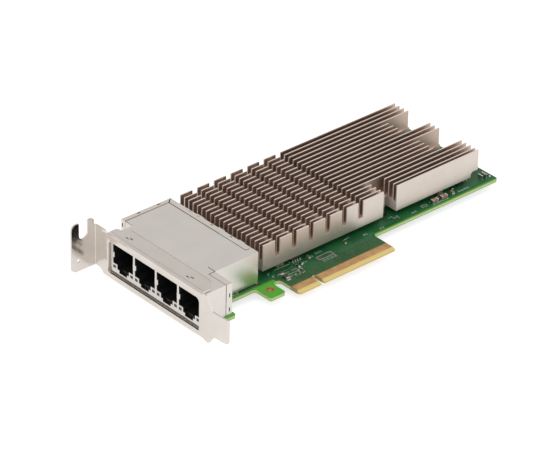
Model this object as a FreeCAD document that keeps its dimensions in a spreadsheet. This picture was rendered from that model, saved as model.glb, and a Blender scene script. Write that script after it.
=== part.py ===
import FreeCAD, Part
import math
import os
import Sketcher

# Low-profile network interface card with four RJ45 ports.
#
# Frame: the origin is on the centre line of the key notch, on the lower edge of
# the edge connector, on the component face of the board. +X runs along the card
# away from the bracket, +Y from the connector to the card's top edge, and +Z
# out of the component face. Lengths are in millimetres.

SIZES = {
    # circuit board
    "board_thickness": 1.57,
    "board_rear": 109.55,
    "board_top": 68.9,
    "board_low": 13.3,
    "board_front_gap": 2.0,
    "lobe_end": -41.7,
    "lobe_low": 4.2,
    "hook_left": -23.95,
    "hook_right": -16.1,
    "hook_low": 4.1,
    "hook_slot_top": 12.4,
    "hook_hole_x": -19.9,
    "hook_hole_y": 9.2,
    "hook_hole": 2.6,
    "plating_ring": 0.75,
    "board_round": 1.0,
    "root_round": 1.5,
    # edge connector
    "tongue_left": -12.15,
    "tongue_right": 39.15,
    "tongue_round": 0.8,
    "key_width": 1.9,
    "key_depth": 6.4,
    "bevel_length": 1.9,
    "bevel_drop": 0.5,
    "contact_top": 5.5,
    "contact_pitch": 1.0,
    "contact_width": 0.72,
    "contact_thickness": 0.05,
    "contact_first_short": -11.5,
    "contact_first_long": 1.5,
    "contacts_short": 11,
    "contacts_long": 38,
    # bracket
    "plate_face": -58.1,
    "sheet": 0.86,
    "plate_low": -2.5,
    "plate_high": 15.9,
    "plate_wide_low": -4.4,
    "plate_slope": 1.8,
    "plate_wide_full": 65.6,
    "tab_seat": 70.5,
    "tab_reach": 12.0,
    "tab_high": 19.4,
    "tab_slot_x": -64.1,
    "tab_slot": 4.5,
    "tab_slot_low": 11.6,
    "tab_round": 2.4,
    "tab_foot_round": 2.4,
    "tab_hole_x": -66.6,
    "tab_hole_z": 2.3,
    "tab_hole": 1.7,
    "bend_inner": 0.3,
    "tab_root": 0.5,
    "tab_root_lean": 0.2,
    "horn_round": 1.6,
    "slot_mouth_round": 1.1,
    "plate_round": 1.2,
    "step_round": 0.8,
    "relief": 0.4,
    "relief_round": 0.3,
    "window_near": 7.3,
    "window_far": 62.5,
    "window_low": -2.35,
    "window_high": 12.3,
    "window_round": 2.0,
    "window_round_low": 0.5,
    "flange_near": 5.9,
    "flange_far": 63.2,
    "flange_rear": -49.5,
    "flange_ear_rear": -52.7,
    "ear_cut": 1.0,
    "ear_side": 2.6,
    "ear_length": 5.0,
    "ear_round": 1.5,
    "near_ear_short": 1.0,
    "corner_share": 0.35,
    "lug_gap": 0.05,
    "lance_length": 1.2,
    "lance_width": 0.5,
    "lance_spacing": 2.0,
    "lance_near": 17.3,
    "lance_far": 54.0,
    "lance_x": -53.8,
    "lance_shift": 0.9,
    "lance_rise": 0.35,
    "shoulder_near": 3.3,
    "tail_step": -0.4,
    "tail_high": 10.0,
    "tail_low": -0.9,
    "tail_end": -9.3,
    "tail_bend": -4.9,
    "tail_lean": 0.45,
    "tail_root": -1.4,
    "tail_root_round": 1.8,
    "foot_drop": 0.8,
    "foot_near": 1.6,
    "foot_width": 1.9,
    "foot_round": 0.7,
    "tail_round": 1.3,
    "foot_far": 5.2,
    "lug_reach": 9.5,
    "lug_half": 3.4,
    "lug_root": 4.2,
    "lug_near": 2.9,
    "lug_far": 67.0,
    "lug_round": 1.5,
    # jack
    "port_pitch": 13.37,
    "port_count": 4,
    "port_first": 14.35,
    "port_width": 12.1,
    "port_high": 12.05,
    "port_shoulder": 2.75,
    "port_step": 0.75,
    "port_key_floor": -0.5,
    "port_step_width": 7.0,
    "port_key_width": 4.6,
    "port_depth": 13.0,
    "chin_low": -1.75,
    "chin_depth": 1.6,
    "chin_near": 7.6,
    "chin_far": 61.6,
    "jack_near": 5.2,
    "jack_far": 62.0,
    "jack_neck": -46.3,
    "jack_rear": -20.8,
    "jack_rear_near": 15.5,
    "jack_rear_far": 68.9,
    "jack_high": 14.65,
    "shield": 0.25,
    "shield_gap": 0.08,
    "seam_gap": 0.12,
    "rear_strip": 2.9,
    "far_strip": 2.5,
    "side_strip": 3.1,
    "slit_width": 0.5,
    "slit_length": 1.8,
    "side_slit_low": 1.9,
    "side_slit_high": 8.35,
    "side_slit_shift": 0.3,
    "return_slit": 11.4,
    "return_slit_inset": 0.9,
    "mitre_slit": 0.2,
    "seam_near": 19.5,
    "light_width": 1.7,
    "light_height": 1.35,
    "light_low": 0.6,
    "light_offset": 5.25,
    "light_inset": 0.1,
    "wire": 0.35,
    "wire_pitch": 1.02,
    "wire_count": 8,
    "wire_low": 8.7,
    "wire_high": 11.5,
    "wire_reach": 10.2,
    "wire_tail": 1.3,
    "spring_low": 5.2,
    "spring_high": 7.5,
    "spring_reach": 0.8,
    "spring_rise": 0.3,
    "peg": 3.2,
    "peg_fit": 0.05,
    "peg_x": -51.6,
    "peg_near": 8.0,
    "peg_far": 59.6,
    "pin": 0.7,
    "pin_hole": 1.1,
    "pin_first_x": -39.0,
    "pin_row_spacing": 12.0,
    "pin_first_y": 20.2,
    "pin_pitch": 6.3,
    "pin_count": 8,
    "pin_tail": 1.1,
    "solder_width": 1.5,
    "solder_height": 0.9,
    # heat sink
    "sink_front": -16.1,
    "sink_rear": 102.2,
    "sink_near": 18.0,
    "sink_far": 68.75,
    "sink_low": 2.5,
    "sink_floor": 6.9,
    "sink_high": 14.3,
    "fin_count": 19,
    "fin": 0.6,
    "fin_pitch": 2.678,
    "cross_cut": 2.6,
    "cross_pitch": 8.93,
    "cross_count": 6,
    "rear_notch_front": 88.5,
    "rear_slot_front": 91.0,
    "rear_slot_inset": 1.0,
    "side_notch_front": 48.7,
    "side_notch_rear": 56.0,
    "fin_root": 0.3,
    "slot_round": 1.5,
    "tap_cover": 1.0,
    "undercut_front": 98.2,
    "undercut_high": 4.9,
    "boss": 5.0,
    "boss_front": -11.4,
    "boss_rear": 82.0,
    "boss_near": 25.5,
    "boss_far": 62.6,
    "sink_screw": 2.5,
    "sink_screw_head": 4.5,
    "sink_screw_tip": 4.9,
    "lug_screw": 2.0,
    "lug_screw_head": 3.8,
    "lug_screw_tip": 0.3,
    "screw_fit": 0.1,
    "screw_head_high": 1.4,
    "recess_width": 0.6,
    "recess_share": 0.58,
    "recess_depth": 0.8,
    # chips
    "package": 25.0,
    "package_lid": 21.0,
    "package_base": 1.1,
    "package_high": 2.2,
    "pad_inset": 1.0,
    "controller_x": 68.0,
    "phy_x": 14.0,
    "chip_y": 43.5,
    "memory_x": -0.2,
    "memory_y": 19.1,
    "memory_length": 4.9,
    "memory_width": 3.9,
    "memory_low": 0.15,
    "memory_high": 1.65,
    "memory_pitch": 1.27,
    "memory_leads": 4,
    "lead_width": 0.42,
    "lead_thickness": 0.2,
    "lead_reach": 1.05,
    "lead_rise": 0.8,
    "lead_shoulder": 0.37,
    "regulator_x": 91.6,
    "regulator_y": 18.7,
    "regulator": 3.2,
    "regulator_high": 0.9,
    # tall parts
    "can": 5.0,
    "can_x": 51.5,
    "can_y": 23.5,
    "can_base": 5.3,
    "can_base_high": 1.3,
    "can_base_round": 0.2,
    "can_base_corner": 1.0,
    "can_high": 9.6,
    "can_rim": 0.4,
    "coil_x": 94.6,
    "coil": 6.4,
    "coil_high": 5.6,
    "coil_round": 0.8,
    # small parts
    "end_share": 0.22,
    "plate_far_step": 64.9,
}

# Half the side of a regular octagon, as a share of half its width over the flats.
OCTAGON_SIDE = math.tan(math.pi / 8)

# Share of a slot's half width that its end corners are rounded by.
FULL_ROUND = 0.999

doc = FreeCAD.newDocument("network_interface_card")
sheet = doc.addObject("Spreadsheet::Sheet", "Sizes")


class Dim:
    """A length that carries both its value and its formula on the sheet."""

    def __init__(self, value, text):
        self.value = value
        self.text = text

    def join(self, other, sign, value):
        return Dim(value, "(%s %s %s)" % (self.text, sign, other.text))

    def __add__(self, other):
        other = dim(other)
        return self.join(other, "+", self.value + other.value)

    def __sub__(self, other):
        other = dim(other)
        return self.join(other, "-", self.value - other.value)

    def __mul__(self, other):
        other = dim(other)
        return self.join(other, "*", self.value * other.value)

    def __truediv__(self, other):
        other = dim(other)
        return self.join(other, "/", self.value / other.value)

    def __neg__(self):
        return Dim(-self.value, "(0 - %s)" % self.text)


def dim(number):
    """Give a plain number the form of a Dim."""
    if isinstance(number, Dim):
        return number
    return Dim(float(number), repr(number))


def fill_sheet():
    """Write each driving size to the sheet and return them as Dims by name."""
    sizes = {}
    for row, (name, value) in enumerate(SIZES.items(), start=1):
        sheet.set("A%d" % row, name)
        sheet.set("B%d" % row, str(value))
        sheet.setAlias("B%d" % row, name)
        sizes[name] = Dim(float(value), "Sizes.%s" % name)
    doc.recompute()
    return sizes


D = fill_sheet()


def bind(thing, prop, size):
    """Tie one property to its formula on the sheet."""
    thing.setExpression(prop, dim(size).text)


def origin_feature(body, role):
    """Find a plane or axis of the body's own origin by its role."""
    for feature in body.Origin.OriginFeatures:
        if feature.Role == role:
            return feature
    raise ValueError("no origin feature " + role)


def new_body(name):
    """Start a sub-part whose label is the node's name."""
    body = doc.addObject("PartDesign::Body", name)
    body.Label = name
    return body


def new_sketch(body, name, plane, level):
    """Attach a sketch to one of the body's origin planes, at a level along its world axis."""
    sketch = body.newObject("Sketcher::SketchObject", name)
    sketch.AttachmentSupport = [(origin_feature(body, plane), "")]
    sketch.MapMode = "FlatFace"
    offset = -dim(level) if plane == "XZ_Plane" else dim(level)
    sketch.AttachmentOffset = FreeCAD.Placement(FreeCAD.Vector(0, 0, offset.value), FreeCAD.Rotation())
    bind(sketch, "AttachmentOffset.Base.z", offset)
    return sketch


def pin_point(sketch, geometry, point, place):
    """Hold one sketch point at its two bound coordinates."""
    for kind, size in zip(("DistanceX", "DistanceY"), place):
        index = sketch.addConstraint(Sketcher.Constraint(kind, -1, 1, geometry, point, size.value))
        sketch.setExpression("Constraints[%d]" % index, size.text)


def draw_loop(sketch, corners):
    """Draw a closed outline. Each corner is (u, v) or (u, v, radius), and every size is bound."""
    corners = [tuple(dim(item) for item in corner) for corner in corners]
    spots = [FreeCAD.Vector(corner[0].value, corner[1].value, 0) for corner in corners]
    total = len(spots)
    entries = []
    exits = []
    arcs = []
    for i, spot in enumerate(spots):
        back = (spots[i - 1] - spot).normalize()
        ahead = (spots[(i + 1) % total] - spot).normalize()
        if len(corners[i]) < 3:
            entries.append(spot)
            exits.append(spot)
            arcs.append(None)
            continue
        radius = corners[i][2].value
        half = math.acos(max(-1.0, min(1.0, back.dot(ahead)))) / 2
        reach = radius / math.tan(half)
        entries.append(spot + back * reach)
        exits.append(spot + ahead * reach)
        centre = spot + (back + ahead).normalize() * (radius / math.sin(half))
        arcs.append((centre, radius, back.cross(ahead).z < 0))
    lines = []
    for i in range(total):
        segment = Part.LineSegment(exits[i], entries[(i + 1) % total])
        lines.append(sketch.addGeometry(segment, False))
    for i in range(total):
        before = lines[i - 1]
        after = lines[i]
        if arcs[i] is None:
            sketch.addConstraint(Sketcher.Constraint("Coincident", before, 2, after, 1))
            pin_point(sketch, after, 1, corners[i][:2])
            continue
        centre, radius, left_turn = arcs[i]
        start, end = (entries[i], exits[i]) if left_turn else (exits[i], entries[i])
        first = math.atan2(start.y - centre.y, start.x - centre.x)
        last = math.atan2(end.y - centre.y, end.x - centre.x)
        circle = Part.Circle(centre, FreeCAD.Vector(0, 0, 1), radius)
        arc = sketch.addGeometry(Part.ArcOfCircle(circle, first, last), False)
        near, far = (1, 2) if left_turn else (2, 1)
        sketch.addConstraint(Sketcher.Constraint("Tangent", before, 2, arc, near))
        sketch.addConstraint(Sketcher.Constraint("Tangent", arc, far, after, 1))
        index = sketch.addConstraint(Sketcher.Constraint("Radius", arc, radius))
        sketch.setExpression("Constraints[%d]" % index, corners[i][2].text)
        corner = sketch.addGeometry(Part.Point(spots[i]), True)
        sketch.addConstraint(Sketcher.Constraint("PointOnObject", corner, 1, before))
        sketch.addConstraint(Sketcher.Constraint("PointOnObject", corner, 1, after))
        pin_point(sketch, corner, 1, corners[i][:2])


def draw_circle(sketch, across, up, diameter):
    """Draw a circle with a bound centre and diameter."""
    across = dim(across)
    up = dim(up)
    diameter = dim(diameter)
    centre = FreeCAD.Vector(across.value, up.value, 0)
    circle = sketch.addGeometry(Part.Circle(centre, FreeCAD.Vector(0, 0, 1), diameter.value / 2), False)
    index = sketch.addConstraint(Sketcher.Constraint("Diameter", circle, diameter.value))
    sketch.setExpression("Constraints[%d]" % index, diameter.text)
    pin_point(sketch, circle, 3, (across, up))


def box_corners(left, low, right, high, radius=None):
    """List the corners of a rectangle, each rounded where a radius is given."""
    corners = [(left, low), (right, low), (right, high), (left, high)]
    if radius is None:
        return corners
    return [corner + (radius,) for corner in corners]


def octagon(across, up, width):
    """List the corners of a regular octagon of one width over its flats."""
    half = dim(width) / 2
    short = half * OCTAGON_SIDE
    return [
        (across - half, up - short), (across - short, up - half), (across + short, up - half),
        (across + half, up - short), (across + half, up + short), (across + short, up + half),
        (across - short, up + half), (across - half, up + short),
    ]


def fill_sketch(sketch, loops, circles):
    """Draw all outlines and circles of one sketch."""
    for loop in loops:
        draw_loop(sketch, loop)
    for circle in circles:
        draw_circle(sketch, *circle)


def pad(body, name, plane, low, high, loops=(), circles=()):
    """Add material between two levels along the plane's world axis."""
    level = high if plane == "XZ_Plane" else low
    sketch = new_sketch(body, name + "_sketch", plane, level)
    fill_sketch(sketch, loops, circles)
    feature = body.newObject("PartDesign::Pad", name)
    feature.Profile = sketch
    bind(feature, "Length", dim(high) - dim(low))
    doc.recompute()
    return feature


def pocket(body, name, plane, low, high, loops=(), circles=()):
    """Remove material between two levels along the plane's world axis."""
    before = body.Shape.Volume
    level = low if plane == "XZ_Plane" else high
    sketch = new_sketch(body, name + "_sketch", plane, level)
    fill_sketch(sketch, loops, circles)
    feature = body.newObject("PartDesign::Pocket", name)
    feature.Profile = sketch
    bind(feature, "Length", dim(high) - dim(low))
    doc.recompute()
    if body.Shape.Volume >= before:
        raise ValueError("%s cut nothing from %s" % (name, body.Label))
    return feature


def repeat(body, name, feature, axis, spacing, count, backwards=False):
    """Repeat a feature along one axis of the body and make the pattern its tip."""
    pattern = body.newObject("PartDesign::LinearPattern", name)
    pattern.Originals = [feature]
    pattern.Direction = (origin_feature(body, axis), [""])
    pattern.Reversed = backwards
    bind(pattern, "Length", dim(spacing) * (dim(count) - 1))
    bind(pattern, "Occurrences", count)
    body.Tip = pattern
    doc.recompute()
    return pattern


# ---------------------------------------------------------------- shared places

inner_face = D["plate_face"] + D["sheet"]
board_front = inner_face + D["board_front_gap"]
board_under = -D["board_thickness"]
fold_gap = D["bend_inner"] * D["corner_share"]
jack_face = inner_face + fold_gap
block_front = jack_face + D["shield"] + D["shield_gap"]
block_inset = D["shield"] + D["shield_gap"]
block_high = D["jack_high"] - block_inset
port_back = jack_face + D["port_depth"]
chin_rear = jack_face + D["chin_depth"]
chin_floor = D["chin_low"] + block_inset
side_strip_front = D["jack_neck"] + D["shield_gap"]
side_strip_rear = side_strip_front + D["side_strip"]
sink_screw_hole = D["sink_screw"] + D["screw_fit"] * 2
lug_screw_hole = D["lug_screw"] + D["screw_fit"] * 2
lug_face = board_under - D["lug_gap"] - D["sheet"]


def fin_far_face(number):
    """Y of the far face of a fin, counted from the card's top edge."""
    return D["sink_far"] - D["fin_pitch"] * (number - 1)


def fin_near_face(number):
    """Y of the near face of a fin."""
    return fin_far_face(number) - D["fin"]


REAR_NOTCH_FINS = [(4, 9), (11, 16)]
SIDE_NOTCH_FIN = 16
SINK_SCREWS = [(D[x], D[y]) for x in ("boss_front", "boss_rear") for y in ("boss_near", "boss_far")]
PEGS = [(D["peg_x"], D["peg_near"]), (D["peg_x"], D["peg_far"])]


# ---------------------------------------------------------------- circuit board

def make_board():
    """FR4 board with its edge-connector tongue, hook, key notch, holes and bevels."""
    body = new_body("circuit_board")
    slot_round = (D["tongue_left"] - D["hook_right"]) / 2
    key_half = D["key_width"] / 2
    outline = [
        (board_front, D["lobe_low"], D["board_round"]),
        (D["lobe_end"], D["lobe_low"], D["board_round"]),
        (D["lobe_end"], D["board_low"], D["root_round"]),
        (D["hook_left"], D["board_low"], D["root_round"]),
        (D["hook_left"], D["hook_low"], D["board_round"]),
        (D["hook_right"], D["hook_low"], D["board_round"]),
        (D["hook_right"], D["hook_slot_top"], slot_round * FULL_ROUND),
        (D["tongue_left"], D["hook_slot_top"], slot_round * FULL_ROUND),
        (D["tongue_left"], 0, D["tongue_round"]),
        (-key_half, 0),
        (-key_half, D["key_depth"], key_half * FULL_ROUND),
        (key_half, D["key_depth"], key_half * FULL_ROUND),
        (key_half, 0),
        (D["tongue_right"], 0, D["tongue_round"]),
        (D["tongue_right"], D["board_low"], D["root_round"]),
        (D["board_rear"], D["board_low"], D["board_round"]),
        (D["board_rear"], D["board_top"], D["board_round"]),
        (board_front, D["board_top"], D["board_round"]),
    ]
    pad(body, "board_pad", "XY_Plane", board_under, 0, [outline])
    holes = [(D["hook_hole_x"], D["hook_hole_y"], D["hook_hole"])]
    holes += [(x, y, sink_screw_hole) for x, y in SINK_SCREWS]
    holes += [(x, y, D["peg"] + D["peg_fit"] * 2) for x, y in PEGS]
    pocket(body, "board_holes", "XY_Plane", board_under, 0, circles=holes)
    for row in range(2):
        hole_x = D["pin_first_x"] + D["pin_row_spacing"] * row
        drill = pocket(body, "pin_hole_%d" % row, "XY_Plane", board_under, 0,
                       [octagon(hole_x, D["pin_first_y"], D["pin_hole"])])
        repeat(body, "pin_holes_%d" % row, drill, "Y_Axis", D["pin_pitch"], D["pin_count"])
    outside = -D["bevel_length"]
    bevels = [
        [(outside, -D["bevel_drop"] * 2), (D["bevel_length"], 0), (outside, 0)],
        [(outside, board_under + D["bevel_drop"] * 2), (outside, board_under),
         (D["bevel_length"], board_under)],
    ]
    pocket(body, "bevels", "YZ_Plane", D["tongue_left"], D["tongue_right"], bevels)
    return body


def make_contacts(name, low):
    """One face's row of gold edge contacts, interrupted by the key notch."""
    body = new_body(name)
    body.AllowCompound = True
    high = low + D["contact_thickness"]
    half = D["contact_width"] / 2
    for part, first, count in (("short", "contact_first_short", "contacts_short"),
                               ("long", "contact_first_long", "contacts_long")):
        corners = box_corners(D[first] - half, D["bevel_length"], D[first] + half, D["contact_top"])
        strip = pad(body, "strip_" + part, "XY_Plane", low, high, [corners])
        repeat(body, "strips_" + part, strip, "X_Axis", D["contact_pitch"], D[count])
    return body


def make_hook_plating():
    """Plated rings of the hook's hole, one on each face."""
    body = new_body("hook_hole_plating")
    body.AllowCompound = True
    ring = D["hook_hole"] + D["plating_ring"] * 2
    lip = D["contact_thickness"]
    place = (D["hook_hole_x"], D["hook_hole_y"])
    pad(body, "ring_over", "XY_Plane", 0, lip, circles=[place + (ring,), place + (D["hook_hole"],)])
    pad(body, "ring_under", "XY_Plane", board_under - lip, board_under,
        circles=[place + (ring,), place + (D["hook_hole"],)])
    return body


# ---------------------------------------------------------------- bracket

def make_bracket():
    """Low-profile bracket folded from one sheet: plate, screw tab, top flange, tail and two lugs."""
    body = new_body("bracket")
    face = D["plate_face"]
    seat = D["tab_seat"]
    tab_top = seat + D["sheet"]
    tab_tip = face - D["tab_reach"]
    outer_bend = D["sheet"] + D["bend_inner"]
    foot_low = D["plate_wide_low"] - D["foot_drop"]
    lean = D["tail_lean"]
    strip = [
        (tab_tip, seat),
        (face, seat, D["bend_inner"]),
        (face, D["tail_bend"]),
        (face + lean, D["tail_end"]),
        (inner_face + lean, D["tail_end"]),
        (inner_face, D["tail_bend"]),
        (inner_face, tab_top, outer_bend),
        (tab_tip, tab_top),
    ]
    pad(body, "folded_strip", "XY_Plane", foot_low, D["tab_high"], [strip])

    margin = D["sheet"] * 4
    frame_far = tab_top + margin
    frame = box_corners(D["tail_end"] - margin, foot_low - margin, frame_far, D["tab_high"] + margin)
    flange_high = D["jack_high"] + fold_gap + D["sheet"]
    fold_start = flange_high - outer_bend
    outline = [
        (D["tail_end"], D["tail_low"], D["tail_round"]),
        (D["tail_root"], D["tail_low"], D["tail_root_round"]),
        (D["foot_near"], foot_low, D["foot_round"]),
        (D["foot_near"] + D["foot_width"], foot_low, D["foot_round"]),
        (D["foot_far"], D["plate_wide_low"], D["step_round"]),
        (D["plate_wide_full"], D["plate_wide_low"], D["plate_round"]),
        (D["plate_wide_full"] + D["plate_slope"], D["plate_low"], D["plate_round"]),
        (tab_top + margin / 2, D["plate_low"]),
        (tab_top + margin / 2, D["tab_high"] + margin / 2),
        (seat - D["bend_inner"], D["tab_high"] + margin / 2),
        (seat - D["bend_inner"], D["plate_high"]),
        (D["plate_far_step"], D["plate_high"], D["step_round"]),
        (D["flange_far"], fold_start, D["step_round"]),
        (D["flange_near"], fold_start, D["relief_round"]),
        (D["flange_near"] - D["relief"], flange_high, D["relief_round"]),
        (D["shoulder_near"], flange_high, D["relief_round"]),
        (D["tail_step"], D["tail_high"], D["step_round"]),
        (D["tail_end"], D["tail_high"], D["tail_round"]),
    ]
    pocket(body, "plate_cut", "YZ_Plane", face - D["bend_inner"], inner_face + margin, [frame, outline])

    slot_half = D["tab_slot"] / 2
    tab_frame = box_corners(tab_tip - margin, foot_low - margin, inner_face + margin, D["tab_high"] + margin)
    tab_outline = [
        (tab_tip, D["plate_low"], D["tab_foot_round"]),
        (inner_face + margin / 2, D["plate_low"]),
        (inner_face + margin / 2, D["plate_high"]),
        (face - D["tab_root"], D["plate_high"], D["relief_round"]),
        (face - D["tab_root"] - D["tab_root_lean"], D["tab_high"], D["horn_round"]),
        (D["tab_slot_x"] + slot_half, D["tab_high"], D["slot_mouth_round"]),
        (D["tab_slot_x"] + slot_half, D["tab_slot_low"], slot_half * FULL_ROUND),
        (D["tab_slot_x"] - slot_half, D["tab_slot_low"], slot_half * FULL_ROUND),
        (D["tab_slot_x"] - slot_half, D["tab_high"], D["relief_round"]),
        (tab_tip, D["tab_high"], D["tab_round"]),
    ]
    pocket(body, "tab_cut", "XZ_Plane", seat - D["bend_inner"], frame_far, [tab_frame, tab_outline])
    pocket(body, "tab_hole", "XZ_Plane", seat - margin, frame_far,
           circles=[(D["tab_hole_x"], D["tab_hole_z"], D["tab_hole"])])

    window = [
        (D["window_near"], D["window_low"], D["window_round_low"]),
        (D["window_far"], D["window_low"], D["window_round_low"]),
        (D["window_far"], D["window_high"], D["window_round"]),
        (D["window_near"], D["window_high"], D["window_round"]),
    ]
    pocket(body, "window", "YZ_Plane", face - margin, inner_face + D["bend_inner"], [window])

    fold = [
        (face, fold_start - D["sheet"]),
        (inner_face, fold_start - D["sheet"]),
        (inner_face, flange_high - D["sheet"], D["bend_inner"]),
        (D["flange_rear"], flange_high - D["sheet"]),
        (D["flange_rear"], flange_high),
        (face, flange_high, outer_bend),
    ]
    pad(body, "top_flange", "XZ_Plane", D["flange_near"], D["flange_far"], [fold])
    far_cut = [
        (D["flange_ear_rear"] - D["ear_cut"] - margin, D["flange_far"] + margin),
        (D["flange_ear_rear"], D["flange_far"] - D["ear_cut"], D["ear_round"]),
        (D["flange_ear_rear"], D["flange_far"] - D["ear_side"], D["ear_round"]),
        (D["flange_rear"], D["flange_far"] - D["ear_length"], D["ear_round"]),
        (D["flange_rear"] + margin, D["flange_far"] - D["ear_length"]),
        (D["flange_rear"] + margin, D["flange_far"] + margin),
    ]
    near_ear_rear = D["flange_ear_rear"] - D["near_ear_short"]
    near_cut = [
        (near_ear_rear, D["flange_near"] - margin),
        (near_ear_rear, D["flange_near"], D["relief_round"]),
        (D["flange_rear"], D["flange_near"] + D["ear_length"], D["ear_round"]),
        (D["flange_rear"] + margin, D["flange_near"] + D["ear_length"]),
        (D["flange_rear"] + margin, D["flange_near"] - margin),
    ]
    lances = []
    bridges = []
    half_width = D["lance_width"] / 2
    for centre in ("lance_near", "lance_far"):
        near = D[centre] - D["lance_spacing"] / 2
        far = D[centre] + D["lance_spacing"] / 2
        half = D["lance_length"] / 2
        for middle, x in ((near, D["lance_x"]), (far, D["lance_x"] - D["lance_shift"])):
            lances.append(box_corners(x - half_width, middle - half, x + half_width, middle + half))
        bridges.append(box_corners(D["lance_x"] - D["lance_shift"], near + half, D["lance_x"], far - half))
    pocket(body, "flange_cut", "XY_Plane", flange_high - D["sheet"] * 1.5, flange_high + margin,
           [far_cut, near_cut] + lances)
    pad(body, "lance_bridges", "XY_Plane", flange_high, flange_high + D["lance_rise"], bridges)

    lug_high = lug_face + D["sheet"]
    lug_rear = inner_face + D["lug_reach"]
    lug_start = face + D["bend_inner"]
    shoulder = D["peg_x"] - D["lug_half"]
    for name, side in (("near", 1), ("far", -1)):
        root = D["lug_" + name]
        root_edge = root + D["lug_root"] * side
        eye_edge = D["peg_" + name] + D["lug_half"] * side
        lug = [
            (lug_start, root),
            (lug_rear, root, D["lug_round"]),
            (lug_rear, eye_edge, D["lug_round"]),
            (shoulder, eye_edge, D["lug_round"]),
            (shoulder, root_edge),
            (lug_start, root_edge),
        ]
        pad(body, "lug_" + name, "XY_Plane", lug_face, lug_high, [lug])
    pocket(body, "lug_holes", "XY_Plane", lug_face, lug_high,
           circles=[(x, y, lug_screw_hole) for x, y in PEGS])
    return body


# ---------------------------------------------------------------- jack

def port_profile(centre, grow):
    """Outline of one RJ45 opening, stepped in to the latch recess towards the board."""
    half = D["port_width"] / 2 + grow
    step = D["port_step_width"] / 2 + grow
    high = D["port_high"] + grow
    shoulder = D["port_shoulder"] - grow
    low = D["port_step"] - grow
    return [
        (centre - step, low),
        (centre + step, low),
        (centre + step, shoulder),
        (centre + half, shoulder),
        (centre + half, high),
        (centre - half, high),
        (centre - half, shoulder),
        (centre - step, shoulder),
    ]


def mouth_profile(centre, grow):
    """Narrow notch under one opening, for the root of the plug's latch."""
    key = D["port_key_width"] / 2 + grow
    return box_corners(centre - key, D["port_key_floor"] - grow, centre + key, D["port_shoulder"])


def light_corners(centre, side, grow):
    """Rectangle of one port light, beside the latch recess."""
    middle = centre + D["light_offset"] * side
    half = D["light_width"] / 2 + grow
    low = D["light_low"] - grow
    return box_corners(middle - half, low, middle + half, low + D["light_height"] + grow * 2)


def make_housing():
    """Black moulded block of the jack: four port cavities, two pegs and the chin before the board."""
    body = new_body("jack_housing")
    near = D["jack_near"] + block_inset
    far = D["jack_far"] - block_inset
    pad(body, "block", "XY_Plane", D["seam_gap"], block_high,
        [box_corners(block_front, near, side_strip_rear - block_inset, far)])
    pad(body, "chin", "XY_Plane", chin_floor, D["seam_gap"],
        [box_corners(block_front, D["chin_near"] + block_inset, chin_rear, D["chin_far"] - block_inset)])
    mouth_end = chin_rear - D["shield"]
    for name, profile, end in (("port", port_profile, port_back), ("mouth", mouth_profile, mouth_end)):
        cavity = pocket(body, name, "YZ_Plane", jack_face, end, [profile(D["port_first"], 0)])
        repeat(body, name + "s", cavity, "Y_Axis", D["port_pitch"], D["port_count"])
    lights = [light_corners(D["port_first"], side, D["shield_gap"] / 2) for side in (-1, 1)]
    bore = pocket(body, "light", "YZ_Plane", jack_face, port_back, lights)
    repeat(body, "lights", bore, "Y_Axis", D["port_pitch"], D["port_count"])
    pad(body, "pegs", "XY_Plane", board_under, D["seam_gap"], circles=[(x, y, D["peg"]) for x, y in PEGS])
    pocket(body, "peg_bores", "XY_Plane", board_under, D["lug_screw_tip"],
           circles=[(x, y, D["lug_screw"]) for x, y in PEGS])
    return body


def make_module():
    """Sealed magnetics block behind the ports, offset to the card's top edge."""
    body = new_body("jack_magnetics_module")
    front = side_strip_rear - block_inset + D["seam_gap"]
    outline = [
        (front, D["jack_rear_near"] + block_inset),
        (D["jack_rear"] - block_inset, D["jack_rear_near"] + block_inset),
        (D["jack_rear"] - block_inset, D["jack_rear_far"] - block_inset),
        (D["jack_neck"] + block_inset, D["jack_rear_far"] - block_inset),
        (D["jack_neck"] + block_inset, D["jack_far"] + D["seam_gap"]),
        (front, D["jack_far"] + D["seam_gap"]),
    ]
    pad(body, "block", "XY_Plane", D["seam_gap"], block_high, [outline])
    return body


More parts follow.
